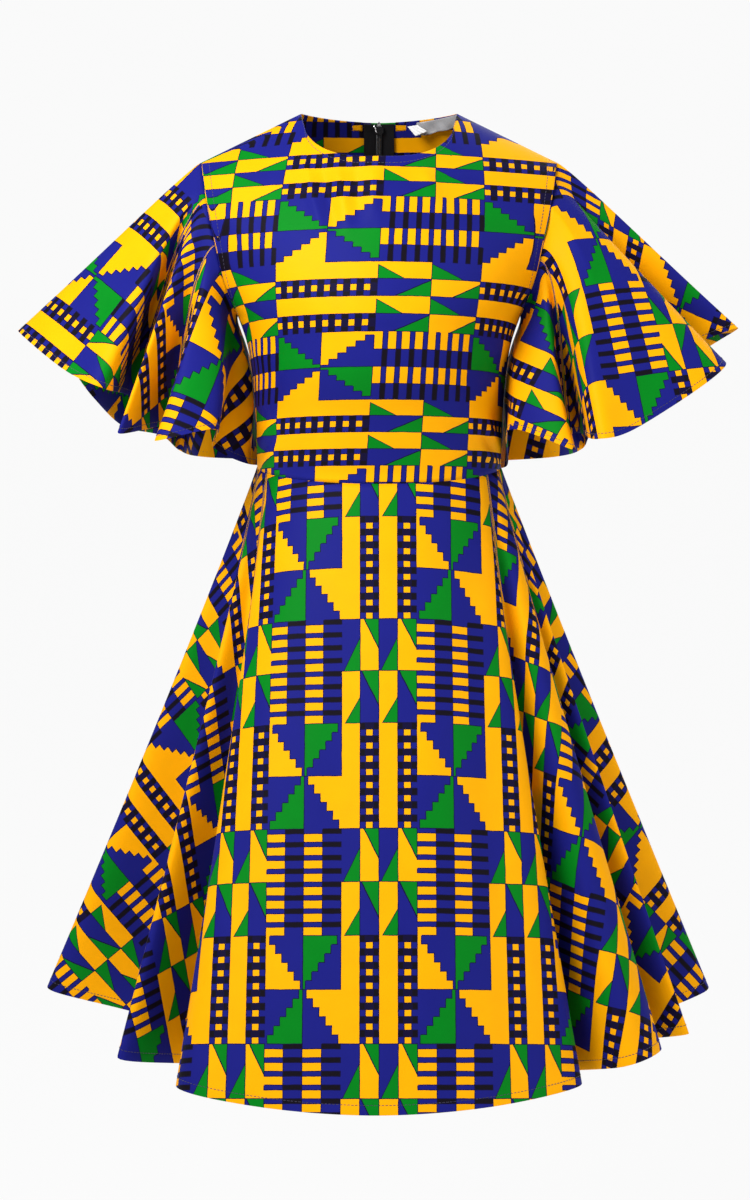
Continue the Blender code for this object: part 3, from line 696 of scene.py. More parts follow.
@dataclass
class SleeveForm:
    """The smooth outer surface of a sleeve, worked out on the right side and mirrored."""

    side: Side
    folds: tuple[SleeveFold, ...]
    growth: float = 1.25
    roll: float = 0.012
    underarm_calm: float = 0.85
    underarm_power: int = 8
    hug_reach: float = 0.012
    hug_clear: float = 0.0012
    seam_gap: float = 0.0003
    arm_steps: int = 7
    top_slope: float = 0.002
    line: list[Array] = field(init=False)
    roots: Array = field(init=False)
    hem: Array = field(init=False)
    plain: Array = field(init=False)

    def __post_init__(self) -> None:
        """Reads the fold lines and follows the armhole's edge."""
        self.roots = np.array([fold.root for fold in self.folds])
        self.hem = np.array([fold[2:] for fold in self.folds])
        self.plain = mean_folds(self.hem)
        arm = FORM.half_angles(1, 1, self.arm_steps)[2:]
        points, normals = [], []
        for front, angles in ((True, arm[::-1]), (False, arm[1:])):
            for angle in angles:
                rise = FORM.top_rise(angle, front)
                points.append(FORM.point(angle, rise, front))
                normals.append(FORM.normal(angle, rise, front))
                if rise == 1.0:
                    normals[-1] = FORM.shoulder_normal(1.0)
        normals[-1] = normals[0]
        points, normals = np.array(points), np.array(normals)
        edge = np.gradient(points, axis=0)
        edge[0] = edge[-1] = points[1] - points[-2]
        self.line = [points, unit(np.cross(edge, normals)), normals]

    def along_line(self, share: Array) -> list[Array]:
        """Points at shares of the way round the armhole, with the directions there."""
        lengths = np.linalg.norm(np.diff(self.line[0], axis=0), axis=1)
        places = np.concatenate([[0], np.cumsum(lengths)])
        at = share * places[-1]
        return [
            np.stack([np.interp(at, places, part[:, i]) for i in range(3)], -1)
            for part in self.line
        ]

    def right_point(self, at: Array, down: Array) -> Array:
        """A point as it would lie on the right side."""
        at, down = np.broadcast_arrays(np.asarray(at, float), np.asarray(down, float))
        share = rising_spline(at, self.roots, 1.0)
        start, away, normal = self.along_line(share % 1.0)
        lift = np.abs(np.cos(math.pi * share))[..., None]
        roll = unit(unit(away) + lift * unit(normal))
        folded = ring_spline(at, self.hem)
        plain = ring_spline(at, self.plain)
        down = np.clip(down, 0, None)[..., None]
        calm = 1 - self.underarm_calm * lift**self.underarm_power
        turn = self.roll * calm * np.sin(math.pi * np.sqrt(np.minimum(down, 1.0)))
        start = start + self.seam_gap * unit(away)
        place = start + roll * turn + down * (plain - start) + down**self.growth * (folded - plain)
        half = FORM.torso(np.clip(place[..., 2], FORM.waist_level, FORM.underarm_z))[0]
        beyond = np.clip(place[..., 0] - half - self.hug_clear, 0, self.hug_reach)
        share_down = np.sin(math.pi * np.minimum(down[..., 0], 1.0))
        place[..., 0] -= beyond * share_down * lift[..., 0] ** self.underarm_power
        return place

    def point(self, at: Array, down: Array) -> Array:
        """A point at a place among the fold lines and a share of the way down."""
        return self.right_point(at, down) * (self.side.value, 1.0, 1.0)

    def normal(self, at: Array, down: Array) -> Array:
        """The unit normal out of the surface at a point."""
        near = np.maximum(down, self.top_slope)
        return surface_normals(self.point, at, near) * self.side.value


class Field:
    """A number that changes over a surface, worked out by math nodes of one node tree."""

    def __init__(self, tree: bpy.types.NodeTree, source: bpy.types.NodeSocket) -> None:
        """Holds the socket that gives the number."""
        self.tree = tree
        self.source = source

    def math(self, operation: str, *others: "Field | float") -> "Field":
        """The result of a math node whose first value is this number."""
        node = self.tree.nodes.new("ShaderNodeMath")
        node.operation = operation
        for socket, value in zip(node.inputs, (self, *others)):
            if isinstance(value, Field):
                self.tree.links.new(value.source, socket)
            else:
                socket.default_value = value
        return Field(self.tree, node.outputs[0])

    def __add__(self, other: "Field | float") -> "Field":
        """The sum."""
        return self.math("ADD", other)

    def __sub__(self, other: "Field | float") -> "Field":
        """The difference."""
        return self.math("SUBTRACT", other)

    def __mul__(self, other: "Field | float") -> "Field":
        """The product."""
        return self.math("MULTIPLY", other)

    def __lt__(self, other: "Field | float") -> "Field":
        """1 where this is the smaller, otherwise 0."""
        return self.math("LESS_THAN", other)

    def __gt__(self, other: "Field | float") -> "Field":
        """1 where this is the greater, otherwise 0."""
        return self.math("GREATER_THAN", other)

    def __mod__(self, other: float) -> "Field":
        """What is left after whole steps."""
        return self.math("FLOORED_MODULO", other)

    def over(self, other: float) -> "Field":
        """This number divided by a plain one."""
        return self.math("MULTIPLY", 1.0 / other)

    def floor(self) -> "Field":
        """The whole number below."""
        return self.math("FLOOR")

    def apart(self, other: "Field | float") -> "Field":
        """How far it is from another."""
        return (self - other).math("ABSOLUTE")

    def flipped(self) -> "Field":
        """1 minus this number."""
        node = self * -1.0
        return node + 1.0

    def either(self, other: "Field") -> "Field":
        """The greater of the two."""
        return self.math("MAXIMUM", other)

    def choose(self, no: "Field | float", yes: "Field | float") -> "Field":
        """One value where this mask is 0 and the other where it is 1."""
        node = self.tree.nodes.new("ShaderNodeMix")
        self.tree.links.new(self.source, node.inputs[0])
        for socket, value in zip(node.inputs[2:4], (no, yes)):
            if isinstance(value, Field):
                self.tree.links.new(value.source, socket)
            else:
                socket.default_value = value
        return Field(self.tree, node.outputs[0])


class Ink(Enum):
    """The inks of the print, by number."""

    NAVY = 0.0
    BLACK = 1.0
    BLUE = 2.0
    GREEN = 3.0
    YELLOW = 4.0


class NodeGroup:
    """A shader node group with named inputs and outputs."""

    def __init__(self, name: str, inputs: dict[str, float], outputs: dict[str, str]) -> None:
        """Makes an empty group.

        Args:
            name: The group's name.
            inputs: The value of each input when nothing feeds it.
            outputs: The socket type of each output.
        """
        self.tree = bpy.data.node_groups.new(name, "ShaderNodeTree")
        for label, value in inputs.items():
            socket = self.tree.interface.new_socket(
                name=label, in_out="INPUT", socket_type="NodeSocketFloat"
            )
            socket.default_value = value
        for label, kind in outputs.items():
            self.tree.interface.new_socket(name=label, in_out="OUTPUT", socket_type=kind)
        self.entry = self.tree.nodes.new("NodeGroupInput")
        self.exit = self.tree.nodes.new("NodeGroupOutput")

    def input(self, label: str) -> Field:
        """The number that comes in under a name."""
        return Field(self.tree, self.entry.outputs[label])

    def output(self, label: str, value: "Field | bpy.types.NodeSocket") -> None:
        """Sends a value out under a name."""
        source = value.source if isinstance(value, Field) else value
        self.tree.links.new(source, self.exit.inputs[label])

    def place(self, tree: bpy.types.NodeTree, **values: "Field | float") -> bpy.types.Node:
        """Puts the group in another tree.

        Args:
            tree: The node tree that uses it.
            values: A number or a field for each named input, with _ for a space.

        Returns:
            The group's node there.
        """
        node = tree.nodes.new("ShaderNodeGroup")
        node.node_tree = self.tree
        for key, value in values.items():
            socket = node.inputs[key.replace("_", " ")]
            if isinstance(value, Field):
                tree.links.new(value.source, socket)
            else:
                socket.default_value = value
        return node


def chart_group(chart: PrintChart) -> NodeGroup:
    """The print's chart: the number of the ink at a place of the print.

    Args:
        chart: The print's sizes.

    Returns:
        A group with the inputs Across and Down, in metres, and the output Ink.
    """
    group = NodeGroup("print chart", {"Across": 0.0, "Down": 0.0}, {"Ink": "NodeSocketFloat"})
    u = group.input("Across").over(chart.column) % chart.columns
    v = group.input("Down").over(chart.module) % chart.modules
    row = v % (chart.modules / 2)
    second_row = v > chart.modules / 2
    second_half = u > chart.columns / 2
    lower = row > 4.0
    drop = (row % 4.0).over(4.0)
    odd = (u % 2.0) > 1.0
    fu, fv = u % 1.0, v % 1.0

    away = u.apart(2.0).over(2.0)
    stair = ((drop * chart.steps).floor() + chart.step_start).over(chart.steps)
    inner = away < lower.choose(stair.flipped(), stair)
    rising = lower.apart(u > 2.0).flipped()
    pinwheel = rising.choose(
        inner.choose(Ink.BLUE.value, Ink.GREEN.value),
        inner.choose(Ink.YELLOW.value, Ink.BLUE.value),
    )

    from_middle = fu.apart(0.5)
    side_square = from_middle > 0.5 - chart.square_side - 0.06
    middle_square = from_middle < chart.square_half
    checks = (fv < 0.5).choose(
        middle_square.choose(Ink.BLUE.value, Ink.YELLOW.value),
        side_square.choose(Ink.NAVY.value, Ink.BLACK.value),
    )
    strips = odd.choose(Ink.YELLOW.value, checks)

    gap = fv < chart.rung_gap
    ladder = odd.choose(
        gap.choose(Ink.YELLOW.value, Ink.BLUE.value),
        gap.choose(Ink.BLUE.value, Ink.BLACK.value),
    )

    start = lower.choose(0.35, 0.50)
    reach = lower.choose(0.90, 0.82)
    even_leaf = ((drop - start) * reach) > (fu.flipped() * start.flipped())
    near = lower.choose(0.20, 0.07)
    depth = lower.choose(0.57, 0.67)
    odd_leaf = (drop * near.flipped()) < ((fu - near) * depth)
    leaf = odd.choose(even_leaf, odd_leaf)
    ground = odd.apart(lower).choose(Ink.BLUE.value, Ink.YELLOW.value)
    leaves = leaf.choose(ground, Ink.GREEN.value)

    upper_row = second_half.choose(pinwheel, strips)
    lower_row = second_half.choose(ladder, leaves)
    group.output("Ink", second_row.choose(upper_row, lower_row))
    return group


@dataclass(frozen=True)
class InkColours:
    """The colours of the inks on cotton, as light that they return."""

    navy: tuple[float, float, float] = (0.006, 0.004, 0.030)
    black: tuple[float, float, float] = (0.006, 0.004, 0.008)
    blue: tuple[float, float, float] = (0.010, 0.012, 0.190)
    green: tuple[float, float, float] = (0.000, 0.195, 0.010)
    yellow: tuple[float, float, float] = (0.970, 0.410, 0.000)


def rgba(colour: Sequence[float]) -> tuple[float, ...]:
    """A colour with full alpha."""
    return (*colour, 1.0)


def print_group(chart: PrintChart, colours: InkColours) -> NodeGroup:
    """The wax print: its colours, with fine dark outlines and uneven ink.

    Args:
        chart: The print's sizes.
        colours: The inks.

    Returns:
        A group with the outputs Colour and Mottle, a value round 0.5 for roughness.
    """
    group = NodeGroup(
        "wax print",
        {"Outline": 0.9, "Ink Unevenness": 0.10},
        {"Colour": "NodeSocketColor", "Mottle": "NodeSocketFloat"},
    )
    tree = group.tree
    place = tree.nodes.new("ShaderNodeUVMap")
    place.uv_map = CUT_MAP
    split = tree.nodes.new("ShaderNodeSeparateXYZ")
    tree.links.new(place.outputs[0], split.inputs[0])
    wander = tree.nodes.new("ShaderNodeTexNoise")
    wander.inputs["Scale"].default_value = 90.0
    wander.inputs["Detail"].default_value = 1.0
    tree.links.new(place.outputs[0], wander.inputs["Vector"])
    drift = (Field(tree, wander.outputs["Fac"]) - 0.5) * 0.0007
    across = Field(tree, split.outputs[0]) + drift
    down = Field(tree, split.outputs[1]) - drift
    inks = chart_group(chart)
    here = Field(tree, inks.place(tree, Across=across, Down=down).outputs["Ink"])
    beside = Field(tree, inks.place(tree, Across=across + chart.outline, Down=down).outputs["Ink"])
    below = Field(tree, inks.place(tree, Across=across, Down=down + chart.outline).outputs["Ink"])
    outline = (here.apart(beside) > 0.5).either(here.apart(below) > 0.5)
    ramp = tree.nodes.new("ShaderNodeValToRGB")
    ramp.color_ramp.interpolation = "CONSTANT"
    stops = ramp.color_ramp.elements
    palette = (colours.navy, colours.black, colours.blue, colours.green, colours.yellow)
    while len(stops) < len(palette):
        stops.new(1.0)
    for i, colour in enumerate(palette):
        stops[i].position = i / len(palette)
        stops[i].color = rgba(colour)
    tree.links.new((here + 0.5).over(len(palette)).source, ramp.inputs[0])
    drawn = tree.nodes.new("ShaderNodeMix")
    drawn.data_type = "RGBA"
    tree.links.new((outline * group.input("Outline")).source, drawn.inputs[0])
    tree.links.new(ramp.outputs[0], drawn.inputs[6])
    drawn.inputs[7].default_value = rgba(colours.navy)
    mottle = tree.nodes.new("ShaderNodeTexNoise")
    mottle.inputs["Scale"].default_value = 35.0
    mottle.inputs["Detail"].default_value = 4.0
    tree.links.new(place.outputs[0], mottle.inputs["Vector"])
    uneven = Field(tree, mottle.outputs["Fac"])
    strength = (uneven - 0.5) * group.input("Ink Unevenness") + 1.0
    toned = tree.nodes.new("ShaderNodeMix")
    toned.data_type = "RGBA"
    toned.blend_type = "MULTIPLY"
    toned.inputs[0].default_value = 1.0
    tree.links.new(drawn.outputs[2], toned.inputs[6])
    grey = tree.nodes.new("ShaderNodeCombineColor")
    for socket in grey.inputs[:3]:
        tree.links.new(strength.source, socket)
    tree.links.new(grey.outputs[0], toned.inputs[7])
    group.output("Colour", toned.outputs[2])
    group.output("Mottle", uneven)
    return group


def weave_group() -> NodeGroup:
    """A plain weave with slight creasing: the height of the cloth over its flat cut.

    Returns:
        A group with the inputs Thread Pitch, in metres, and Creasing, and the output Height.
    """
    group = NodeGroup(
        "cotton weave", {"Thread Pitch": 0.0005, "Creasing": 1.0}, {"Height": "NodeSocketFloat"}
    )
    tree = group.tree
    place = tree.nodes.new("ShaderNodeUVMap")
    place.uv_map = CUT_MAP
    split = tree.nodes.new("ShaderNodeSeparateXYZ")
    tree.links.new(place.outputs[0], split.inputs[0])
    pitch = group.input("Thread Pitch")
    waves = []
    for socket in split.outputs[:2]:
        turns = Field(tree, socket).math("DIVIDE", pitch) * math.pi
        waves.append(turns.math("SINE"))
    threads = waves[0] * waves[1]
    crumple = tree.nodes.new("ShaderNodeTexNoise")
    crumple.noise_type = "RIDGED_MULTIFRACTAL"
    crumple.inputs["Scale"].default_value = 14.0
    crumple.inputs["Detail"].default_value = 2.0
    tree.links.new(place.outputs[0], crumple.inputs["Vector"])
    creases = Field(tree, crumple.outputs["Fac"]) * group.input("Creasing")
    group.output("Height", threads * 0.04 + creases)
    return group


@dataclass(frozen=True)
class Finish:
    """A finish of one material, with the values that are the same all over it."""

    name: str
    colour: tuple[float, float, float]
    roughness: float
    metallic: float = 0.0
    sheen: float = 0.0
    specular: float = 0.5
    weave_pitch: float = 0.0
    bump: float = 0.0
    wear: float = 0.0


class Wardrobe:
    """The materials of the dress, made once from their finishes."""

    def __init__(self) -> None:
        """Builds the shared node groups."""
        self.print = print_group(CHART, InkColours())
        self.weave = weave_group()
        self.made: dict[str, bpy.types.Material] = {}

    def cotton(self) -> bpy.types.Material:
        """The printed cotton, smooth with a slight satin sheen."""
        if "printed cotton" in self.made:
            return self.made["printed cotton"]
        material = bpy.data.materials.new("printed cotton")
        material.use_nodes = True
        tree = material.node_tree
        shader = tree.nodes["Principled BSDF"]
        printed = self.print.place(tree, Outline=1.0, Ink_Unevenness=0.16)
        tree.links.new(printed.outputs["Colour"], shader.inputs["Base Color"])
        gloss = Field(tree, printed.outputs["Mottle"]) * 0.16 + 0.50
        tree.links.new(gloss.source, shader.inputs["Roughness"])
        shader.inputs["Specular IOR Level"].default_value = 0.06
        self.add_weave(tree, shader, pitch=0.0005, strength=0.25, creasing=0.6)
        self.made["printed cotton"] = material
        return material

    def add_weave(
        self,
        tree: bpy.types.NodeTree,
        shader: bpy.types.Node,
        pitch: float,
        strength: float,
        creasing: float,
    ) -> None:
        """Adds woven threads and fine creases to a material's bump.

        Args:
            tree: The material's nodes.
            shader: Its shader.
            pitch: The distance from thread to thread in metres.
            strength: The strength of the bump.
            creasing: How much of it is creases.
        """
        woven = self.weave.place(tree, Thread_Pitch=pitch, Creasing=creasing)
        bump = tree.nodes.new("ShaderNodeBump")
        bump.inputs["Strength"].default_value = strength
        bump.inputs["Distance"].default_value = 0.0006
        tree.links.new(woven.outputs["Height"], bump.inputs["Height"])
        tree.links.new(bump.outputs["Normal"], shader.inputs["Normal"])

    def plain(self, finish: Finish) -> bpy.types.Material:
        """A material of one colour whose wear and grain vary over it.

        Args:
            finish: The finish.

        Returns:
            The material, made once for each name.
        """
        if finish.name in self.made:
            return self.made[finish.name]
        material = bpy.data.materials.new(finish.name)
        material.use_nodes = True
        tree = material.node_tree
        shader = tree.nodes["Principled BSDF"]
        noise = tree.nodes.new("ShaderNodeTexNoise")
        noise.inputs["Scale"].default_value = 900.0
        noise.inputs["Detail"].default_value = 3.0
        where = tree.nodes.new("ShaderNodeTexCoord")
        tree.links.new(where.outputs["Object"], noise.inputs["Vector"])
        grain = Field(tree, noise.outputs["Fac"])
        mix = tree.nodes.new("ShaderNodeMix")
        mix.data_type = "RGBA"
        mix.inputs[6].default_value = rgba(finish.colour)
        mix.inputs[7].default_value = rgba([min(1.0, 1.5 * c + 0.004) for c in finish.colour])
        tree.links.new(grain.source, mix.inputs[0])
        tree.links.new(mix.outputs[2], shader.inputs["Base Color"])
        rough = (grain - 0.5) * 0.2 + finish.roughness
        tree.links.new(rough.source, shader.inputs["Roughness"])
        shader.inputs["Metallic"].default_value = finish.metallic
        shader.inputs["Specular IOR Level"].default_value = finish.specular
        shader.inputs["Sheen Weight"].default_value = finish.sheen
        if finish.weave_pitch:
            self.add_weave(tree, shader, finish.weave_pitch, finish.bump, 0.2)
        self.made[finish.name] = material
        return material


THREAD = Finish("sewing thread", (0.020, 0.016, 0.050), 0.6, sheen=0.2)
TAPE = Finish("zip tape", (0.003, 0.003, 0.004), 0.8, specular=0.2, weave_pitch=0.0009, bump=0.6)
COIL = Finish("zip coil", (0.010, 0.010, 0.011), 0.35)
BLACK_METAL = Finish("lacquered metal", (0.020, 0.020, 0.022), 0.28, metallic=0.6)
# Bright metal for the edge over the zip slider: a painted highlight of the black slider.
HIGHLIGHT_METAL = Finish("worn bright metal", (0.700, 0.700, 0.720), 0.25, metallic=1.0)
SATIN = Finish("label satin", (0.270, 0.270, 0.280), 0.30, sheen=0.3, weave_pitch=0.0004, bump=0.3)
TAG = Finish("tag tape", (0.560, 0.560, 0.560), 0.60, weave_pitch=0.0006, bump=0.4)


def dress(
    piece: bpy.types.Object,
    material: bpy.types.Material,
    replaced: Sequence[str] = (),
    body: str = DRESS_BODY,
) -> bpy.types.Object:
    """Gives a piece its material and its body, and reports it.

    Args:
        piece: The piece.
        material: Its material.
        replaced: The nodes that it stands for.
        body: The body that it moves with.

    Returns:
        The piece.
    """
    piece.data.materials.clear()
    piece.data.materials.append(material)
    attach(piece, body)
    if replaced:
        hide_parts(*replaced)
    log.info("%s: %d faces", piece.name, len(piece.data.polygons))
    return piece


def declare_cloth(piece: bpy.types.Object, grid: ClothGrid) -> None:
    """Logs a sheet of cloth with the size of its flat cut and its area.

    Args:
        piece: The piece.
        grid: Its points and how far it spreads when it is laid flat.
    """
    width, length = (float(v) for v in grid.spread)
    area = min(grid.area(), width * length)
    log.info("%s: cut %.3f x %.3f m, %.4f square metres", piece.name, width, length, area)


@dataclass
class Stitching:
    """A line of sewing: short threads that lie in the cloth one after another."""

    length: float = 0.0027
    gap: float = 0.0008
    radius: float = 0.00032
    sides: int = 5

    def build(self, name: str, path: Array, normals: Array) -> bpy.types.Object:
        """Makes the stitches along a path.

        Args:
            name: The new object's name.
            path: Points on the cloth, in order.
            normals: The cloth's normals there.

        Returns:
            One object with every stitch of the line.
        """
        places = np.concatenate([[0], np.cumsum(np.linalg.norm(np.diff(path, axis=0), axis=1))])
        count = max(1, int(places[-1] / (self.length + self.gap)))
        starts = (np.arange(count) + 0.5) * places[-1] / count
        rings = np.array([-0.5, -0.38, 0.38, 0.5]) * self.length
        swell = np.array([0.35, 1.0, 1.0, 0.35]) * self.radius
        sink = np.array([-0.8, 0.1, 0.1, -0.8]) * self.radius
        at = starts[:, None] + rings
        read = [np.interp(at, places, path[:, i]) for i in range(3)]
        centre = np.stack(read, -1)
        out = unit(np.stack([np.interp(at, places, normals[:, i]) for i in range(3)], -1))
        along = unit(centre[:, -1:] - centre[:, :1])
        side = unit(np.cross(along, out))
        out = np.cross(side, np.broadcast_to(along, side.shape))
        centre = centre + out * sink[None, :, None]
        turn = np.arange(self.sides) * 2 * math.pi / self.sides
        circle = (
            np.cos(turn)[:, None] * side[..., None, :] + np.sin(turn)[:, None] * out[..., None, :]
        )
        verts = centre[..., None, :] + circle * swell[None, :, None, None]
        index = np.arange(count * 4 * self.sides).reshape(count, 4, self.sides)
        following = np.roll(index, -1, axis=2)
        bands = np.stack(
            [index[:, :-1], index[:, 1:], following[:, 1:], following[:, :-1]], -1
        ).reshape(-1, 4)
        faces = bands.tolist() + index[:, 0, :].tolist() + index[:, -1, ::-1].tolist()
        mesh = bpy.data.meshes.new(name)
        mesh.from_pydata(verts.reshape(-1, 3).tolist(), [], faces)
        mesh.shade_smooth()
        thing = bpy.data.objects.new(name, mesh)
        bpy.context.scene.collection.objects.link(thing)
        return thing


@dataclass
class Bodice:
    """The fitted top: a front and two backs, with the creases of the photo."""

    wardrobe: Wardrobe
    thickness: float = 0.0008
    edge_thickness: float = 0.0011
    seam_inset: float = 0.00015
    neck_steps: int = 26
    shoulder_steps: int = 20
    arm_steps: int = 28
    lower_rows: int = 40
    upper_rows: int = 52
    neck_stitch: float = 0.0080
    armhole_stitch: float = 0.0080
    neck_parting: float = 0.0016
    print_column: float = 2.0
    print_column_z: float = -0.113
    print_module: float = 4.0
    print_module_x: float = -0.0485
    print_across: float = 0.965
    print_up: float = 1.07
    print_slant: float = 0.053
    beyond_neck: float = 0.3
    shoulder_slant: float = 1.25
    camera_lean: float = math.tan(math.radians(7.0))
    front_creases: tuple[Crease, ...] = (
        Crease(-0.072, -0.046, -0.054, -0.118, 0.0055, 0.0034),
        Crease(-0.056, -0.050, -0.042, -0.112, 0.0050, -0.0030),
        Crease(-0.040, -0.052, -0.030, -0.110, 0.0055, 0.0034),
        Crease(-0.023, -0.053, -0.019, -0.104, 0.0055, -0.0026),
        Crease(-0.006, -0.054, -0.006, -0.098, 0.0060, 0.0026),
        Crease(0.040, -0.050, 0.058, -0.095, 0.0080, 0.0024),
        Crease(-0.118, -0.343, -0.098, -0.322, 0.0034, 0.0046),
        Crease(-0.119, -0.336, -0.098, -0.308, 0.0032, -0.0030),
        Crease(-0.120, -0.328, -0.102, -0.296, 0.0032, 0.0042),
        Crease(-0.120, -0.320, -0.108, -0.284, 0.0034, -0.0020),
        Crease(0.118, -0.343, 0.098, -0.324, 0.0034, 0.0046),
        Crease(0.119, -0.335, 0.099, -0.308, 0.0032, -0.0030),
        Crease(0.120, -0.327, 0.103, -0.296, 0.0032, 0.0042),
        Crease(0.121, -0.318, 0.110, -0.280, 0.0034, -0.0020),
        Crease(0.100, -0.240, 0.128, -0.218, 0.0100, 0.0018),
        Crease(-0.100, -0.245, -0.128, -0.222, 0.0100, 0.0018),
        Crease(-0.130, -0.120, -0.150, -0.100, 0.0120, 0.0016),
        Crease(0.134, -0.120, 0.152, -0.098, 0.0120, 0.0016),
    )
    back_creases: tuple[Crease, ...] = (
        Crease(-0.020, -0.060, -0.060, -0.120, 0.0140, 0.0016),
        Crease(0.022, -0.070, 0.058, -0.125, 0.0150, 0.0014),
        Crease(-0.012, -0.290, -0.080, -0.300, 0.0100, 0.0018),
        Crease(0.014, -0.305, 0.085, -0.315, 0.0100, -0.0014),
        Crease(-0.110, -0.340, -0.085, -0.312, 0.0040, 0.0024),
        Crease(0.110, -0.340, 0.084, -0.314, 0.0040, 0.0024),
    )

    def angles(self) -> Array:
        """The columns of half a panel."""
        return FORM.half_angles(self.neck_steps, self.shoulder_steps, self.arm_steps)

    def relief(self, front: bool) -> Relief:
        """The creases of the front or of the back."""
        return Relief(self.front_creases, -1.0) if front else Relief(self.back_creases, 1.0)

    def surface(self, angle: Array, rise: Array, front: bool) -> tuple[Array, Array]:
        """Points of the creased surface and the normals of the smooth one."""
        points = FORM.point(angle, rise, front)
        normals = FORM.normal(angle, rise, front)
        height = self.relief(front).height(points, normals)
        return points + height[..., None] * normals, normals

    def grid(self, angles: Array, front: bool) -> ClothGrid:
        """The points of one panel, rows from the waist up.

        Args:
            angles: Its columns, in radians from the centre line.
            front: Whether it is the front.

        Returns:
            The panel's grid.
        """
        points, normals = [], []
        lower = np.linspace(-1, 0, self.lower_rows + 1)
        shares, round_off = edge_shares(self.upper_rows, 0.2, self.edge_thickness)
        for angle in angles:
            top = FORM.top_rise(angle, front)
            rises = np.concatenate([lower[:-1], top * shares])
            place, normal = self.surface(np.full_like(rises, angle), rises, front)
            if rises[-1] == 1.0:
                blend = np.clip((rises - 0.97) / 0.03, 0, 1)[:, None]
                normal = unit(normal * (1 - blend) + blend * FORM.shoulder_normal(place[-1, 0]))
            points.append(place)
            normals.append(normal)
        points = np.array(points).swapaxes(0, 1)
        normals = np.array(normals).swapaxes(0, 1)
        thickness = np.full(points.shape[:2], self.thickness)
        thickness[-len(shares):] *= round_off[:, None]
        cut = self.print_places(points, normals, front)
        tall, wide = cut.max((0, 1)) - cut.min((0, 1))
        spread = (wide / self.print_across, tall / self.print_up)
        return ClothGrid(points, normals, cut, thickness, spread)

    def print_places(self, points: Array, normals: Array, front: bool) -> Array:
        """The place in the print of each point: it lies on its side, its columns level.

        A thread that runs across the front lies level as seen by the photo's camera. Each
        row's lengths are measured along such threads, from the centre line outwards.
        """
        lean = self.camera_lean if front else 0.0
        upward = np.array([0.0, lean, 1.0])
        level = unit(np.cross(upward, normals))
        steps = (np.diff(points, axis=1) * (level[:, 1:] + level[:, :-1]) / 2).sum(-1)
        right = np.concatenate([np.zeros((len(points), 1)), np.cumsum(steps, axis=1)], axis=1)
        centre = int(np.argmin(np.abs(points[0, :, 0])))
        right -= right[:, centre : centre + 1]
        line = points[:, centre]
        climbs = np.linalg.norm(np.diff(line, axis=0), axis=1)
        climbed = np.concatenate([[0], np.cumsum(climbs)])
        height = line @ upward
        above = height[-1] + self.beyond_neck
        height = np.append(height, above)
        climbed = np.append(climbed, climbed[-1] + self.shoulder_slant * self.beyond_neck)
        start = np.interp(self.print_column_z, line[:, 2], climbed[:-1])
        up = (np.interp(points @ upward, height, climbed) - start) * self.print_up
        right = right * self.print_across - self.print_module_x - self.print_slant * up
        across = self.print_column * CHART.column - up
        down = self.print_module * CHART.module - right
        return np.stack([across, down], -1)

    def build_front(self) -> None:
        """Makes and dresses the front."""
        half = self.angles()
        grid = self.grid(np.concatenate([-half[:0:-1], half]), True)
        piece = cloth_shell("bodice_front_cloth", grid)
        dress(piece, self.wardrobe.cotton(), ["bodice_front"])
        declare_cloth(piece, grid)

    def build_back(self, side: Side) -> None:
        """Makes and dresses one half of the back."""
        grid = self.grid(side.value * self.angles(), False)
        z = grid.points[:, 0, 2]
        height = np.clip((z - z[-1] + 0.012) / 0.012, 0, 1)
        grid.points[:, 0, 0] += side.value * (self.seam_inset + self.neck_parting * height)
        piece = cloth_shell(f"bodice_back_{side.word}_cloth", grid)
        dress(piece, self.wardrobe.cotton(), [f"bodice_back_{side.word}"])
        declare_cloth(piece, grid)

    def stitch_line(self, angles: Array, front: bool, inset: float, sink: float) -> tuple:
        """A path at a distance inside the top edge, with the normals along it."""
        points, normals = [], []
        for angle in angles:
            top = FORM.top_rise(angle, front)
            below = FORM.point(angle, 0.9 * top, front)
            length = np.linalg.norm(FORM.point(angle, top, front) - below) / 0.1 / max(top, TINY)
            rise = np.array([max(top - inset / length, -0.9)])
            place, normal = self.surface(np.array([angle]), rise, front)
            points.append(place[0] + sink * normal[0])
            normals.append(normal[0])
        return np.array(points), np.array(normals)

    def build_stitching(self) -> None:
        """Sews the neck edge and both armholes."""
        thread = self.wardrobe.plain(THREAD)
        neck = np.linspace(-FORM.neck_angle, FORM.neck_angle, 60)
        for word, front in (("front", True), ("back", False)):
            path, normals = self.stitch_line(neck, front, self.neck_stitch, 0.0)
            piece = Stitching().build(f"neck_stitching_{word}", path, normals)
            dress(piece, thread)
        for side in Side:
            arm = np.linspace(FORM.shoulder_angle, math.radians(84), 50)
            for word, front in (("front", True), ("back", False)):
                path, normals = self.armhole_path(side, arm, front)
                name = f"armhole_stitching_{side.word}_{word}"
                dress(Stitching().build(name, path, normals), thread)

    def armhole_path(self, side: Side, arm: Array, front: bool) -> tuple[Array, Array]:
        """A path at a distance inside one armhole's edge."""
        edge = np.array([FORM.point(a, FORM.top_rise(a, front), front) for a in arm])
        run = unit(np.gradient(edge, axis=0))
        normal = np.array([FORM.normal(a, FORM.top_rise(a, front), front) for a in arm])
        normal[0] = normal[1]
        inward = np.cross(normal, run) * (-1 if front else 1)
        inward *= np.sign(-(inward[..., :1]) * 1.0)
        wanted = edge + self.armhole_stitch * unit(inward)
        points, normals = [], []
        for target in wanted:
            angle, rise = self.nearest(target, front)
            place, out = self.surface(np.array([side.value * angle]), np.array([rise]), front)
            points.append(place[0])
            normals.append(out[0])
        return np.array(points), np.array(normals)

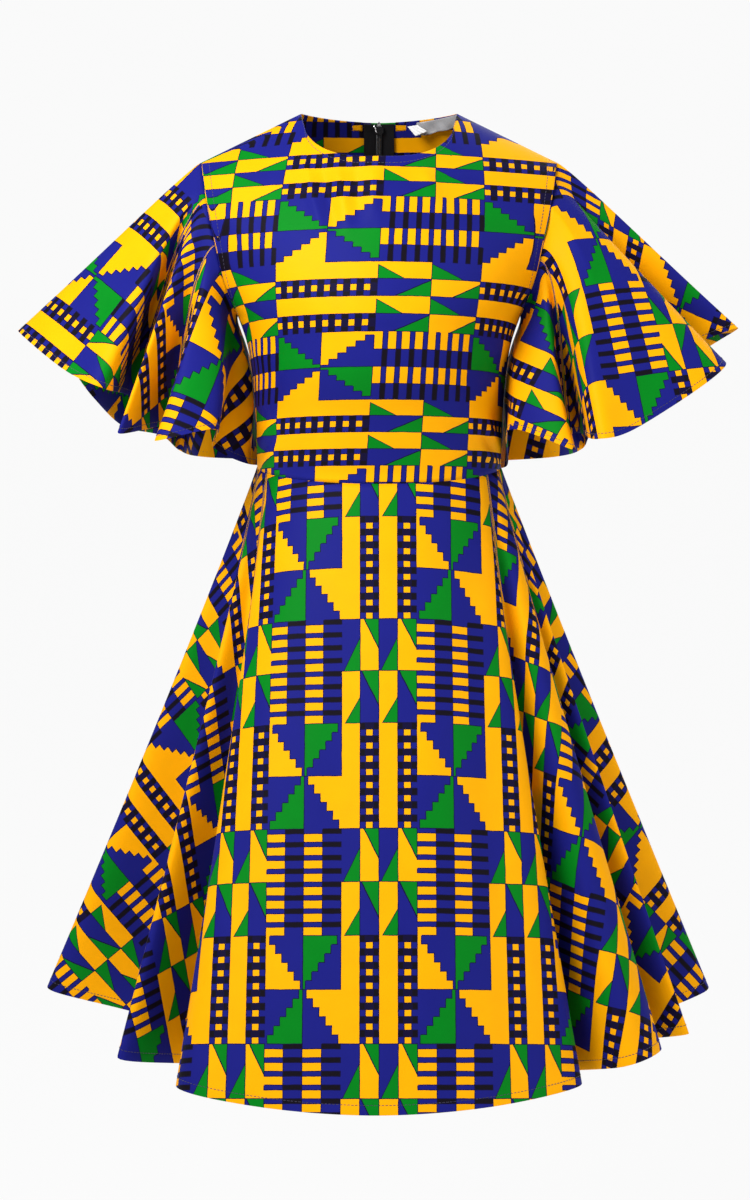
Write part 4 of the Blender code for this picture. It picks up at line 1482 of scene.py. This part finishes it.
    def nearest(self, target: Array, front: bool) -> tuple[float, float]:
        """The angle and rise of the surface's point nearest to a place on the right side."""
        angle, rise = 1.1, 0.4
        for _ in range(12):
            here = FORM.point(angle, rise, front)
            da = (FORM.point(angle + STEP, rise, front) - here) / STEP
            db = (FORM.point(angle, rise + STEP, front) - here) / STEP
            step, *_ = np.linalg.lstsq(np.stack([da, db], 1), target - here, rcond=None)
            angle = float(np.clip(angle + np.clip(step[0], -0.2, 0.2), 0.1, math.pi / 2))
            rise = float(np.clip(rise + np.clip(step[1], -0.2, 0.2), -0.5, 0.995))
        return angle, rise

    def build(self) -> None:
        """Makes every piece of the bodice."""
        self.build_front()
        for side in Side:
            self.build_back(side)
        self.build_stitching()


@dataclass
class Skirt:
    """The circle-cut skirt: a front and two backs."""

    wardrobe: Wardrobe
    form: SkirtForm = field(default_factory=SkirtForm)
    thickness: float = 0.0008
    hem_thickness: float = 0.0012
    steps: int = 12
    rows: int = 90
    hem_stitch: float = 0.0090
    seam_inset: float = 0.00015
    stretch: float = 1.0155
    front_placements: tuple[Placement, ...] = (
        Placement(1.12, 0.675, 8.16, 3.93, -119.7, 2.1, 1.02),
        Placement(3.42, 0.645, -0.20, 19.93, 27.5, 4.35, 0.97),
        Placement(7.0, 0.0, 6.0, 13.44, 0.0, 9.9, 1.014),
        Placement(11.46, 0.630, 10.52, 19.72, -26.5, 13.1, 0.986),
        Placement(14.5, 0.5, 3.0, 6.0, -56.0),
    )
    back_placements: tuple[Placement, ...] = (
        Placement(25.0, 0.0, 6.0, 13.44, 0.0),
    )
    front_creases: tuple[Crease, ...] = (
        Crease(-0.085, -0.360, -0.120, -0.900, 0.0200, 0.0032),
        Crease(-0.030, -0.420, -0.045, -0.930, 0.0240, -0.0034),
        Crease(0.035, -0.380, 0.060, -0.930, 0.0220, 0.0030),
        Crease(0.085, -0.420, 0.130, -0.900, 0.0160, -0.0034),
        Crease(0.045, -0.735, 0.150, -0.700, 0.0060, 0.0010),
        Crease(-0.120, -0.352, -0.098, -0.376, 0.0040, 0.0022),
        Crease(0.120, -0.352, 0.098, -0.376, 0.0040, 0.0022),
    )
    back_creases: tuple[Crease, ...] = (
        Crease(-0.030, -0.420, -0.040, -0.920, 0.0220, 0.0020),
        Crease(0.034, -0.400, 0.046, -0.920, 0.0220, -0.0018),
        Crease(-0.075, -0.380, -0.110, -0.910, 0.0160, -0.0016),
        Crease(0.078, -0.420, 0.112, -0.900, 0.0160, 0.0018),
    )

    def surface(self, at: Array, down: Array) -> tuple[Array, Array]:
        """Points of the creased surface and the normals of the smooth one."""
        points = self.form.point(at, down)
        normals = self.form.normal(at, down)
        height = Relief(self.front_creases, -1.0).height(points, normals)
        height += Relief(self.back_creases, 1.0).height(points, normals)
        fade = np.clip(down * 30, 0, 1) * np.clip((1 - down) * 40 + 0.25, 0, 1)
        return points + (height * fade)[..., None] * normals, normals

    def grid(self, first: int, last: int, middle: int) -> ClothGrid:
        """The points of one panel, rows from the waist down.

        Args:
            first: The fold line where it starts.
            last: The fold line where it ends.
            middle: The fold line along its grain.

        Returns:
            The panel's grid with its flat cut.
        """
        places = np.linspace(first, last, (last - first) * self.steps + 1)
        shares, round_off = edge_shares(self.rows, 0.59, self.hem_thickness)
        at, down = np.meshgrid(places, shares)
        points, normals = self.surface(at, down)
        flat = unroll(self.form.point(at, down), (middle - first) * self.steps)
        spread = flat.max((0, 1)) - flat.min((0, 1))
        flat /= self.stretch
        placements = self.front_placements if middle == self.form.centre_front else (
            self.back_placements
        )
        cut = print_places(flat, places, shares, placements)
        thickness = np.full(points.shape[:2], self.thickness)
        thickness *= round_off[:, None]
        for column, beside in ((0, 1), (-1, -2)):
            points[:, column] += self.seam_inset * unit(points[:, beside] - points[:, column])
        return ClothGrid(points, normals, cut, thickness, spread)

    def build(self) -> None:
        """Makes and dresses the three panels and the stitching of the hem."""
        form = self.form
        panels = (
            ("skirt_front", form.side_left, form.side_right, form.centre_front),
            ("skirt_back_right", form.side_right, form.centre_back, form.centre_back),
            ("skirt_back_left", form.centre_back, len(form.folds), form.centre_back),
        )
        for name, first, last, middle in panels:
            grid = self.grid(first, last, middle)
            piece = cloth_shell(f"{name}_cloth", grid)
            dress(piece, self.wardrobe.cotton(), [name])
            declare_cloth(piece, grid)
        places = np.linspace(0, len(form.folds), 900)
        ends = np.linalg.norm(form.point(places, 1.0) - form.point(places, 0.0), axis=-1)
        path, normals = self.surface(places, 1 - self.hem_stitch / ends)
        piece = Stitching().build("skirt_hem_stitching", path, normals)
        dress(piece, self.wardrobe.plain(THREAD))


LEFT_SLEEVE_PRINT = (
    Placement(2.75, 0.440, 0.33, 4.22, -6.0, 4.5, 0.903),
    Placement(5.75, 0.410, 0.06, 16.03, 42.8, 7.5, 1.08),
    Placement(9.54, 0.600, 1.85, 8.22, 74.2, scale=0.906),
)
RIGHT_SLEEVE_PRINT = (
    Placement(1.83, 0.505, 4.60, -0.27, -132.6, 3.5, 1.0),
    Placement(6.50, 0.405, 1.64, -0.03, 161.0, scale=1.0),
)


@dataclass
class Sleeve:
    """A circle-cut flutter sleeve, an open ring that hangs from the armhole."""

    wardrobe: Wardrobe
    side: Side
    folds: tuple[SleeveFold, ...]
    middle: int
    placements: tuple[Placement, ...]
    creases: tuple[Crease, ...] = ()
    thickness: float = 0.0008
    hem_thickness: float = 0.0011
    steps: int = 14
    rows: int = 62
    hem_stitch: float = 0.0055
    form: SleeveForm = field(init=False)

    def __post_init__(self) -> None:
        """Works out the sleeve's surface."""
        self.form = SleeveForm(self.side, self.folds)

    def surface(self, at: Array, down: Array) -> tuple[Array, Array]:
        """Points of the creased surface and the normals of the smooth one."""
        points = self.form.point(at, down)
        normals = self.form.normal(at, down)
        height = Relief(self.creases, -1.0).height(points, normals)
        fade = np.clip(down * 12, 0, 1) * np.clip((1 - down) * 20 + 0.25, 0, 1)
        return points + (height * fade)[..., None] * normals, normals

    def build(self) -> None:
        """Makes and dresses the sleeve and the stitching of its hem."""
        name = f"sleeve_{self.side.word}"
        places = np.linspace(0, len(self.folds), len(self.folds) * self.steps + 1)
        shares, round_off = edge_shares(self.rows, 0.25, self.hem_thickness)
        shares = shares**1.25
        at, down = np.meshgrid(places, shares)
        points, normals = self.surface(at, down)
        flat = unroll(self.form.right_point(at, down), self.middle * self.steps)
        flat[..., 0] *= self.side.value
        spread = flat.max((0, 1)) - flat.min((0, 1))
        cut = print_places(flat, places, shares, self.placements)
        thickness = self.thickness * np.broadcast_to(round_off[:, None], at.shape).copy()
        grid = ClothGrid(points, normals, cut, thickness, spread)
        piece = cloth_shell(f"{name}_cloth", grid)
        dress(piece, self.wardrobe.cotton(), [name])
        declare_cloth(piece, grid)
        places = np.linspace(0, len(self.folds), 700)
        ends = np.linalg.norm(self.form.point(places, 1.0) - self.form.point(places, 0.0), axis=-1)
        path, out = self.surface(places, 1 - self.hem_stitch / ends)
        stitches = Stitching().build(f"{name}_hem_stitching", path, out)
        dress(stitches, self.wardrobe.plain(THREAD))


def swept(name: str, path: Array, sides: Array, outs: Array, ring: Array) -> bpy.types.Object:
    """A closed rod along one or more paths.

    Args:
        name: The new object's name.
        path: Paths x points x 3.
        sides: The direction across each path at each point.
        outs: The direction out of the cloth there.
        ring: The rod's outline at each point, as points x corners x (across, out), in metres.

    Returns:
        One object with all the rods.
    """
    verts = (
        path[:, :, None]
        + ring[None, ..., :1] * sides[:, :, None]
        + ring[None, ..., 1:] * outs[:, :, None]
    )
    index = np.arange(verts[..., 0].size).reshape(verts.shape[:3])
    after = np.roll(index, -1, axis=2)
    bands = np.stack([index[:, :-1], index[:, 1:], after[:, 1:], after[:, :-1]], -1).reshape(-1, 4)
    faces = bands.tolist() + index[:, 0].tolist() + index[:, -1, ::-1].tolist()
    mesh = bpy.data.meshes.new(name)
    mesh.from_pydata(verts.reshape(-1, 3).tolist(), [], faces)
    shape = bmesh.new()
    shape.from_mesh(mesh)
    bmesh.ops.recalc_face_normals(shape, faces=shape.faces)
    shape.to_mesh(mesh)
    shape.free()
    mesh.shade_smooth()
    thing = bpy.data.objects.new(name, mesh)
    bpy.context.scene.collection.objects.link(thing)
    return thing


def round_ring(swells: Sequence[float], radius: float, corners: int = 8) -> Array:
    """Round outlines of a rod, one for each swell."""
    turn = np.arange(corners) * 2 * math.pi / corners
    circle = np.stack([np.cos(turn), np.sin(turn)], -1) * radius
    return circle[None] * np.array(swells)[:, None, None]


@dataclass
class NeckDetails:
    """The zip, the facing, the label and the tag inside the back neck."""

    wardrobe: Wardrobe
    bodice: Bodice
    facing_ends: tuple[float, float] = (0.0165, 0.0755)
    facing_drop: float = 0.0085
    facing_off: float = 0.0016
    label_corners: tuple[tuple[float, float], ...] = (
        (0.0372, 0.0022), (0.0765, 0.0008), (0.0372, 0.0150), (0.0765, 0.0125),
    )
    tag_corners: tuple[tuple[float, float], ...] = (
        (0.0280, 0.0052), (0.0378, 0.0045), (0.0362, 0.0152), (0.0475, 0.0118),
    )
    strip_off: float = 0.0034
    tag_off: float = 0.0052
    strip_thickness: float = 0.0003
    label_waves: float = 0.0014
    tooth_pitch: float = 0.00075
    tooth_reach: float = 0.0030
    tooth_lap: float = 0.0007
    tooth_radius: float = 0.00042
    coil_lift: float = 0.0004
    hook_radius: float = 0.0006
    hook_path: tuple[tuple[float, float], ...] = (
        (-0.0040, 0.0030), (-0.0052, 0.0012), (-0.0036, -0.0006), (-0.0034, -0.0030),
        (-0.0022, -0.0048),
    )

    def inside(self, x: float, drop: float, slack: float, off: float) -> Array:
        """A place inside the back neck.

        Args:
            x: How far to the right of the centre.
            drop: How far below the neck's edge.
            slack: 0 along the cloth and 1 straight down from the edge.
            off: How far in front of the cloth's outer face.

        Returns:
            The place.
        """
        angle = math.asin(x / FORM.fan_half)
        top = FORM.top_rise(angle, False)
        line = FORM.point(np.full(40, angle), np.linspace(top, top - 0.4, 40), False)
        on_cloth = np.interp(drop, line[0, 2] - line[:, 2], line[:, 1])
        y = on_cloth * (1 - slack) + line[0, 1] * slack
        return np.array([x, y - off, line[0, 2] - drop])

    def strip(self, places: Array, thickness: float) -> ClothGrid:
        """A strip whose outer face looks to the front.

        Args:
            places: Rows from the top down and columns from left to right.
            thickness: The strip's thickness.

        Returns:
            Its grid, with its cut as wide and as long as the strip.
        """
        across = np.gradient(places, axis=1)
        down = np.gradient(places, axis=0)
        normals = unit(np.cross(down, across))
        wide = np.linalg.norm(np.diff(places, axis=1), axis=-1).sum(1).max()
        long = np.linalg.norm(np.diff(places, axis=0), axis=-1).sum(0).max()
        rows, columns = places.shape[:2]
        u, v = np.meshgrid(np.linspace(0, wide, columns), np.linspace(0, long, rows))
        even = np.full((rows, columns), thickness)
        return ClothGrid(places, normals, np.stack([u, v], -1), even, (wide, long))

    def build_facings(self) -> None:
        """Makes the turned strips of printed cloth on both sides of the zip."""
        for side in Side:
            name = f"neck_facing_{side.word}"
            ends = np.array(self.facing_ends) * side.value
            xs = np.linspace(min(ends), max(ends), 24)
            drops = np.linspace(0.0004, self.facing_drop, 7)
            places = np.array(
                [[self.inside(x, drop, 0.0, self.facing_off) for x in xs] for drop in drops]
            )
            grid = self.strip(places, self.bodice.thickness)
            grid.cut = np.stack([0.098 - places[..., 2], 0.061 + places[..., 0]], -1)
            piece = cloth_shell(f"{name}_cloth", grid)
            dress(piece, self.wardrobe.cotton(), [name])
            declare_cloth(piece, grid)

    def corner_strip(self, corners: Array, off: float, waves: float, slack: float) -> ClothGrid:
        """A strip between four corners, each a distance to the right and a drop."""
        corners = np.array(corners)
        places = []
        for v in np.linspace(0, 1, 13):
            row = []
            for u in np.linspace(0, 1, 34):
                left = corners[0] * (1 - v) + corners[2] * v
                right = corners[1] * (1 - v) + corners[3] * v
                x, drop = left * (1 - u) + right * u
                place = self.inside(x, drop, slack, off)
                ripple = math.sin(9.0 * u + 2.4 * v) + 0.6 * math.sin(19.0 * u - 5.0 * v)
                place[1] -= waves * ripple * (0.25 + 0.75 * v)
                place[2] += 0.4 * waves * math.sin(13.0 * u + 1.0) * v
                row.append(place)
            places.append(row)
        return self.strip(np.array(places), self.strip_thickness)

    def build_labels(self) -> None:
        """Makes the creased satin label and the small tag, both blank."""
        label = self.corner_strip(self.label_corners, self.strip_off, self.label_waves, 0.45)
        tag = self.corner_strip(self.tag_corners, self.tag_off, 0.00025, 1.0)
        for node, grid, finish, slot in (
            ("neck_label", label, SATIN, Slot.SATIN),
            ("label_tag", tag, TAG, Slot.TAG),
        ):
            piece = cloth_shell(f"{node}_strip", grid)
            dress(piece, self.wardrobe.plain(finish), [node])
            declare_cloth(piece, grid)

    def coil_line(self) -> Array:
        """The middle of the coil from its lower end up, read from the frame's node."""
        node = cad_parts["zip_coil"]
        places = np.array([node.matrix_world @ v.co for v in node.data.vertices])
        places = places[np.argsort(places[:, 2])]
        rows = [part.mean(0) for part in np.array_split(places, len(places) // 8)]
        rows = np.array([places[:8].mean(0), *rows[1:-1], places[-8:].mean(0)])
        rows[:, 0] = 0.0
        return rows

    def build_zip(self) -> None:
        """Makes the coil's teeth and finishes the tapes, the slider and its tab."""
        line = self.coil_line()
        lengths = np.linalg.norm(np.diff(line, axis=0), axis=1)
        along = np.concatenate([[0], np.cumsum(lengths)])
        at = np.arange(self.tooth_pitch, along[-1], self.tooth_pitch)
        middle = np.stack([np.interp(at, along, line[:, i]) for i in range(3)], -1)
        run = unit(np.gradient(middle, axis=0))
        out = unit(np.cross(run, np.array([1.0, 0.0, 0.0])))
        out *= np.sign(-out[:, 1:2])
        sign = np.where(np.arange(len(at)) % 2, 1.0, -1.0)[:, None]
        shares = np.array([0.0, 0.12, 0.45, 0.80, 0.95, 1.0])
        reach = self.tooth_reach - shares * (self.tooth_reach + self.tooth_lap)
        lift = self.coil_lift * np.sin(math.pi * shares)
        path = middle[:, None] + lift[None, :, None] * out[:, None]
        path[..., 0] += sign * reach[None]
        shape = path.shape
        ring = round_ring((0.7, 1.0, 1.0, 1.25, 1.0, 0.4), self.tooth_radius)
        teeth = swept(
            "zip_coil_teeth",
            path,
            np.broadcast_to(run[:, None], shape),
            np.broadcast_to(out[:, None], shape),
            ring,
        )
        dress(teeth, self.wardrobe.plain(COIL), ["zip_coil"])
        for node, finish in (
            ("zip_tape_left", TAPE),
            ("zip_tape_right", TAPE),
            ("zip_slider", BLACK_METAL),
            ("zip_pull_tab", BLACK_METAL),
        ):
            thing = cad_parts[node]
            thing.data.materials.clear()
            thing.data.materials.append(self.wardrobe.plain(finish))
            log.info("%s: finished as %s", node, finish.name)

    def build_highlight_edge(self) -> None:
        """Makes the bright metal edge that bends over the slider's front, a painted highlight of the
        black slider.
        """
        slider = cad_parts["zip_slider"]
        places = np.array([slider.matrix_world @ v.co for v in slider.data.vertices])
        middle = (places.max(0) + places.min(0)) / 2
        front = places[:, 1].min()
        knots = np.array(self.hook_path)
        at = np.linspace(0, len(knots) - 1, 25)
        bend = np.stack([hermite(at, np.arange(len(knots)), knots[:, i]) for i in (0, 1)], -1)
        path = np.stack(
            [bend[:, 0], np.full(len(at), front), middle[2] + bend[:, 1]], -1
        )
        run = unit(np.gradient(path, axis=0))
        out = np.broadcast_to(np.array([0.0, -1.0, 0.0]), path.shape)
        swells = np.sqrt(np.clip(np.sin(math.pi * np.linspace(0.04, 0.96, len(at))), 0, 1))
        ring = round_ring(swells, self.hook_radius)
        # The rod's bright metal paints the slider's highlight.
        hook = swept("zip_slider_hook", path[None], unit(np.cross(run, out))[None], out[None], ring)
        dress(hook, self.wardrobe.plain(HIGHLIGHT_METAL))

    def build(self) -> None:
        """Makes every detail of the neck."""
        self.build_facings()
        self.build_labels()
        self.build_zip()
        self.build_highlight_edge()


@dataclass
class Studio:
    """A pale floor, soft light and the photo's camera."""

    target: tuple[float, float, float] = (-0.004, 0.0, -0.479)
    distance: float = 2.6
    pitch_deg: float = 7.0
    lens: float = 78.0
    floor_z: float = -1.45
    floor_radius: float = 60.0
    backdrop: tuple[float, float, float] = (0.955, 0.955, 0.955)
    floor_colour: float = 0.06
    floor_glow: float = 0.95
    fill: float = 0.30
    key_power: float = 34.0
    key_place: tuple[float, float, float] = (-0.85, -1.10, 0.72)
    key_aim: tuple[float, float, float] = (0.0, -0.05, -0.40)
    key_size: float = 0.8
    side_energy: float = 1.0
    back_energy: float = 1.8
    sun_angle_deg: float = 40.0

    def build_camera(self) -> None:
        """Sets the camera at the photo's viewing angle."""
        data = bpy.data.cameras.new("camera")
        data.lens = self.lens
        data.sensor_width = 36.0
        pitch = math.radians(self.pitch_deg)
        back = Vector((0.0, -math.cos(pitch), math.sin(pitch))) * self.distance
        camera = bpy.data.objects.new("camera", data)
        camera.location = Vector(self.target) + back
        camera.rotation_euler = (math.pi / 2 - pitch, 0.0, 0.0)
        bpy.context.scene.collection.objects.link(camera)
        bpy.context.scene.camera = camera

    def build_floor(self) -> None:
        """Lays a wide round floor below the dress."""
        shape = bmesh.new()
        bmesh.ops.create_circle(shape, cap_ends=True, segments=96, radius=self.floor_radius)
        mesh = bpy.data.meshes.new("floor")
        shape.to_mesh(mesh)
        shape.free()
        floor = bpy.data.objects.new("floor", mesh)
        floor.location.z = self.floor_z
        bpy.context.scene.collection.objects.link(floor)
        material = bpy.data.materials.new("pale floor")
        material.use_nodes = True
        shader = material.node_tree.nodes["Principled BSDF"]
        shader.inputs["Base Color"].default_value = rgba([self.floor_colour] * 3)
        shader.inputs["Emission Color"].default_value = rgba(self.backdrop)
        shader.inputs["Emission Strength"].default_value = self.floor_glow
        shader.inputs["Roughness"].default_value = 1.0
        shader.inputs["Specular IOR Level"].default_value = 0.0
        mesh.materials.append(material)

    def build_light(self) -> None:
        """Adds the soft box, the side and back lights and the pale surroundings."""
        data = bpy.data.lights.new("soft box", "AREA")
        data.energy = self.key_power
        data.size = self.key_size
        box = bpy.data.objects.new("soft box", data)
        box.location = self.key_place
        aim = Vector(self.key_aim) - Vector(self.key_place)
        box.rotation_euler = aim.to_track_quat("-Z", "Y").to_euler()
        box.visible_camera = False
        bpy.context.scene.collection.objects.link(box)
        suns = (
            ("side", self.side_energy, (62.0, 0.0, 55.0)),
            ("back", self.back_energy, (50.0, 0.0, 160.0)),
        )
        for name, energy, turn in suns:
            data = bpy.data.lights.new(name, "SUN")
            data.energy = energy
            data.angle = math.radians(self.sun_angle_deg)
            lamp = bpy.data.objects.new(name, data)
            lamp.rotation_euler = [math.radians(v) for v in turn]
            bpy.context.scene.collection.objects.link(lamp)
        world = bpy.data.worlds.new("studio")
        bpy.context.scene.world = world
        world.use_nodes = True
        tree = world.node_tree
        shown = tree.nodes["Background"]
        shown.inputs["Color"].default_value = rgba(self.backdrop)
        glow = tree.nodes.new("ShaderNodeBackground")
        glow.inputs["Strength"].default_value = self.fill
        path = tree.nodes.new("ShaderNodeLightPath")
        mix = tree.nodes.new("ShaderNodeMixShader")
        tree.links.new(path.outputs["Is Camera Ray"], mix.inputs[0])
        tree.links.new(glow.outputs[0], mix.inputs[1])
        tree.links.new(shown.outputs[0], mix.inputs[2])
        tree.links.new(mix.outputs[0], tree.nodes["World Output"].inputs[0])

    def build(self) -> None:
        """Sets up the whole studio."""
        bpy.context.scene.view_settings.view_transform = "Standard"
        self.build_camera()
        self.build_floor()
        self.build_light()


def main() -> None:
    """Builds the dress piece by piece, then the studio."""
    logging.basicConfig(level=logging.INFO, format="%(name)s: %(message)s", stream=sys.stdout)
    wardrobe = Wardrobe()
    bodice = Bodice(wardrobe)
    bodice.build()
    Skirt(wardrobe).build()
    Sleeve(wardrobe, Side.LEFT, SLEEVE_LEFT_FOLDS, 6, LEFT_SLEEVE_PRINT).build()
    Sleeve(wardrobe, Side.RIGHT, SLEEVE_RIGHT_FOLDS, 6, RIGHT_SLEEVE_PRINT).build()
    NeckDetails(wardrobe, bodice).build()
    Studio().build()


if __name__ == "__main__":
    main()
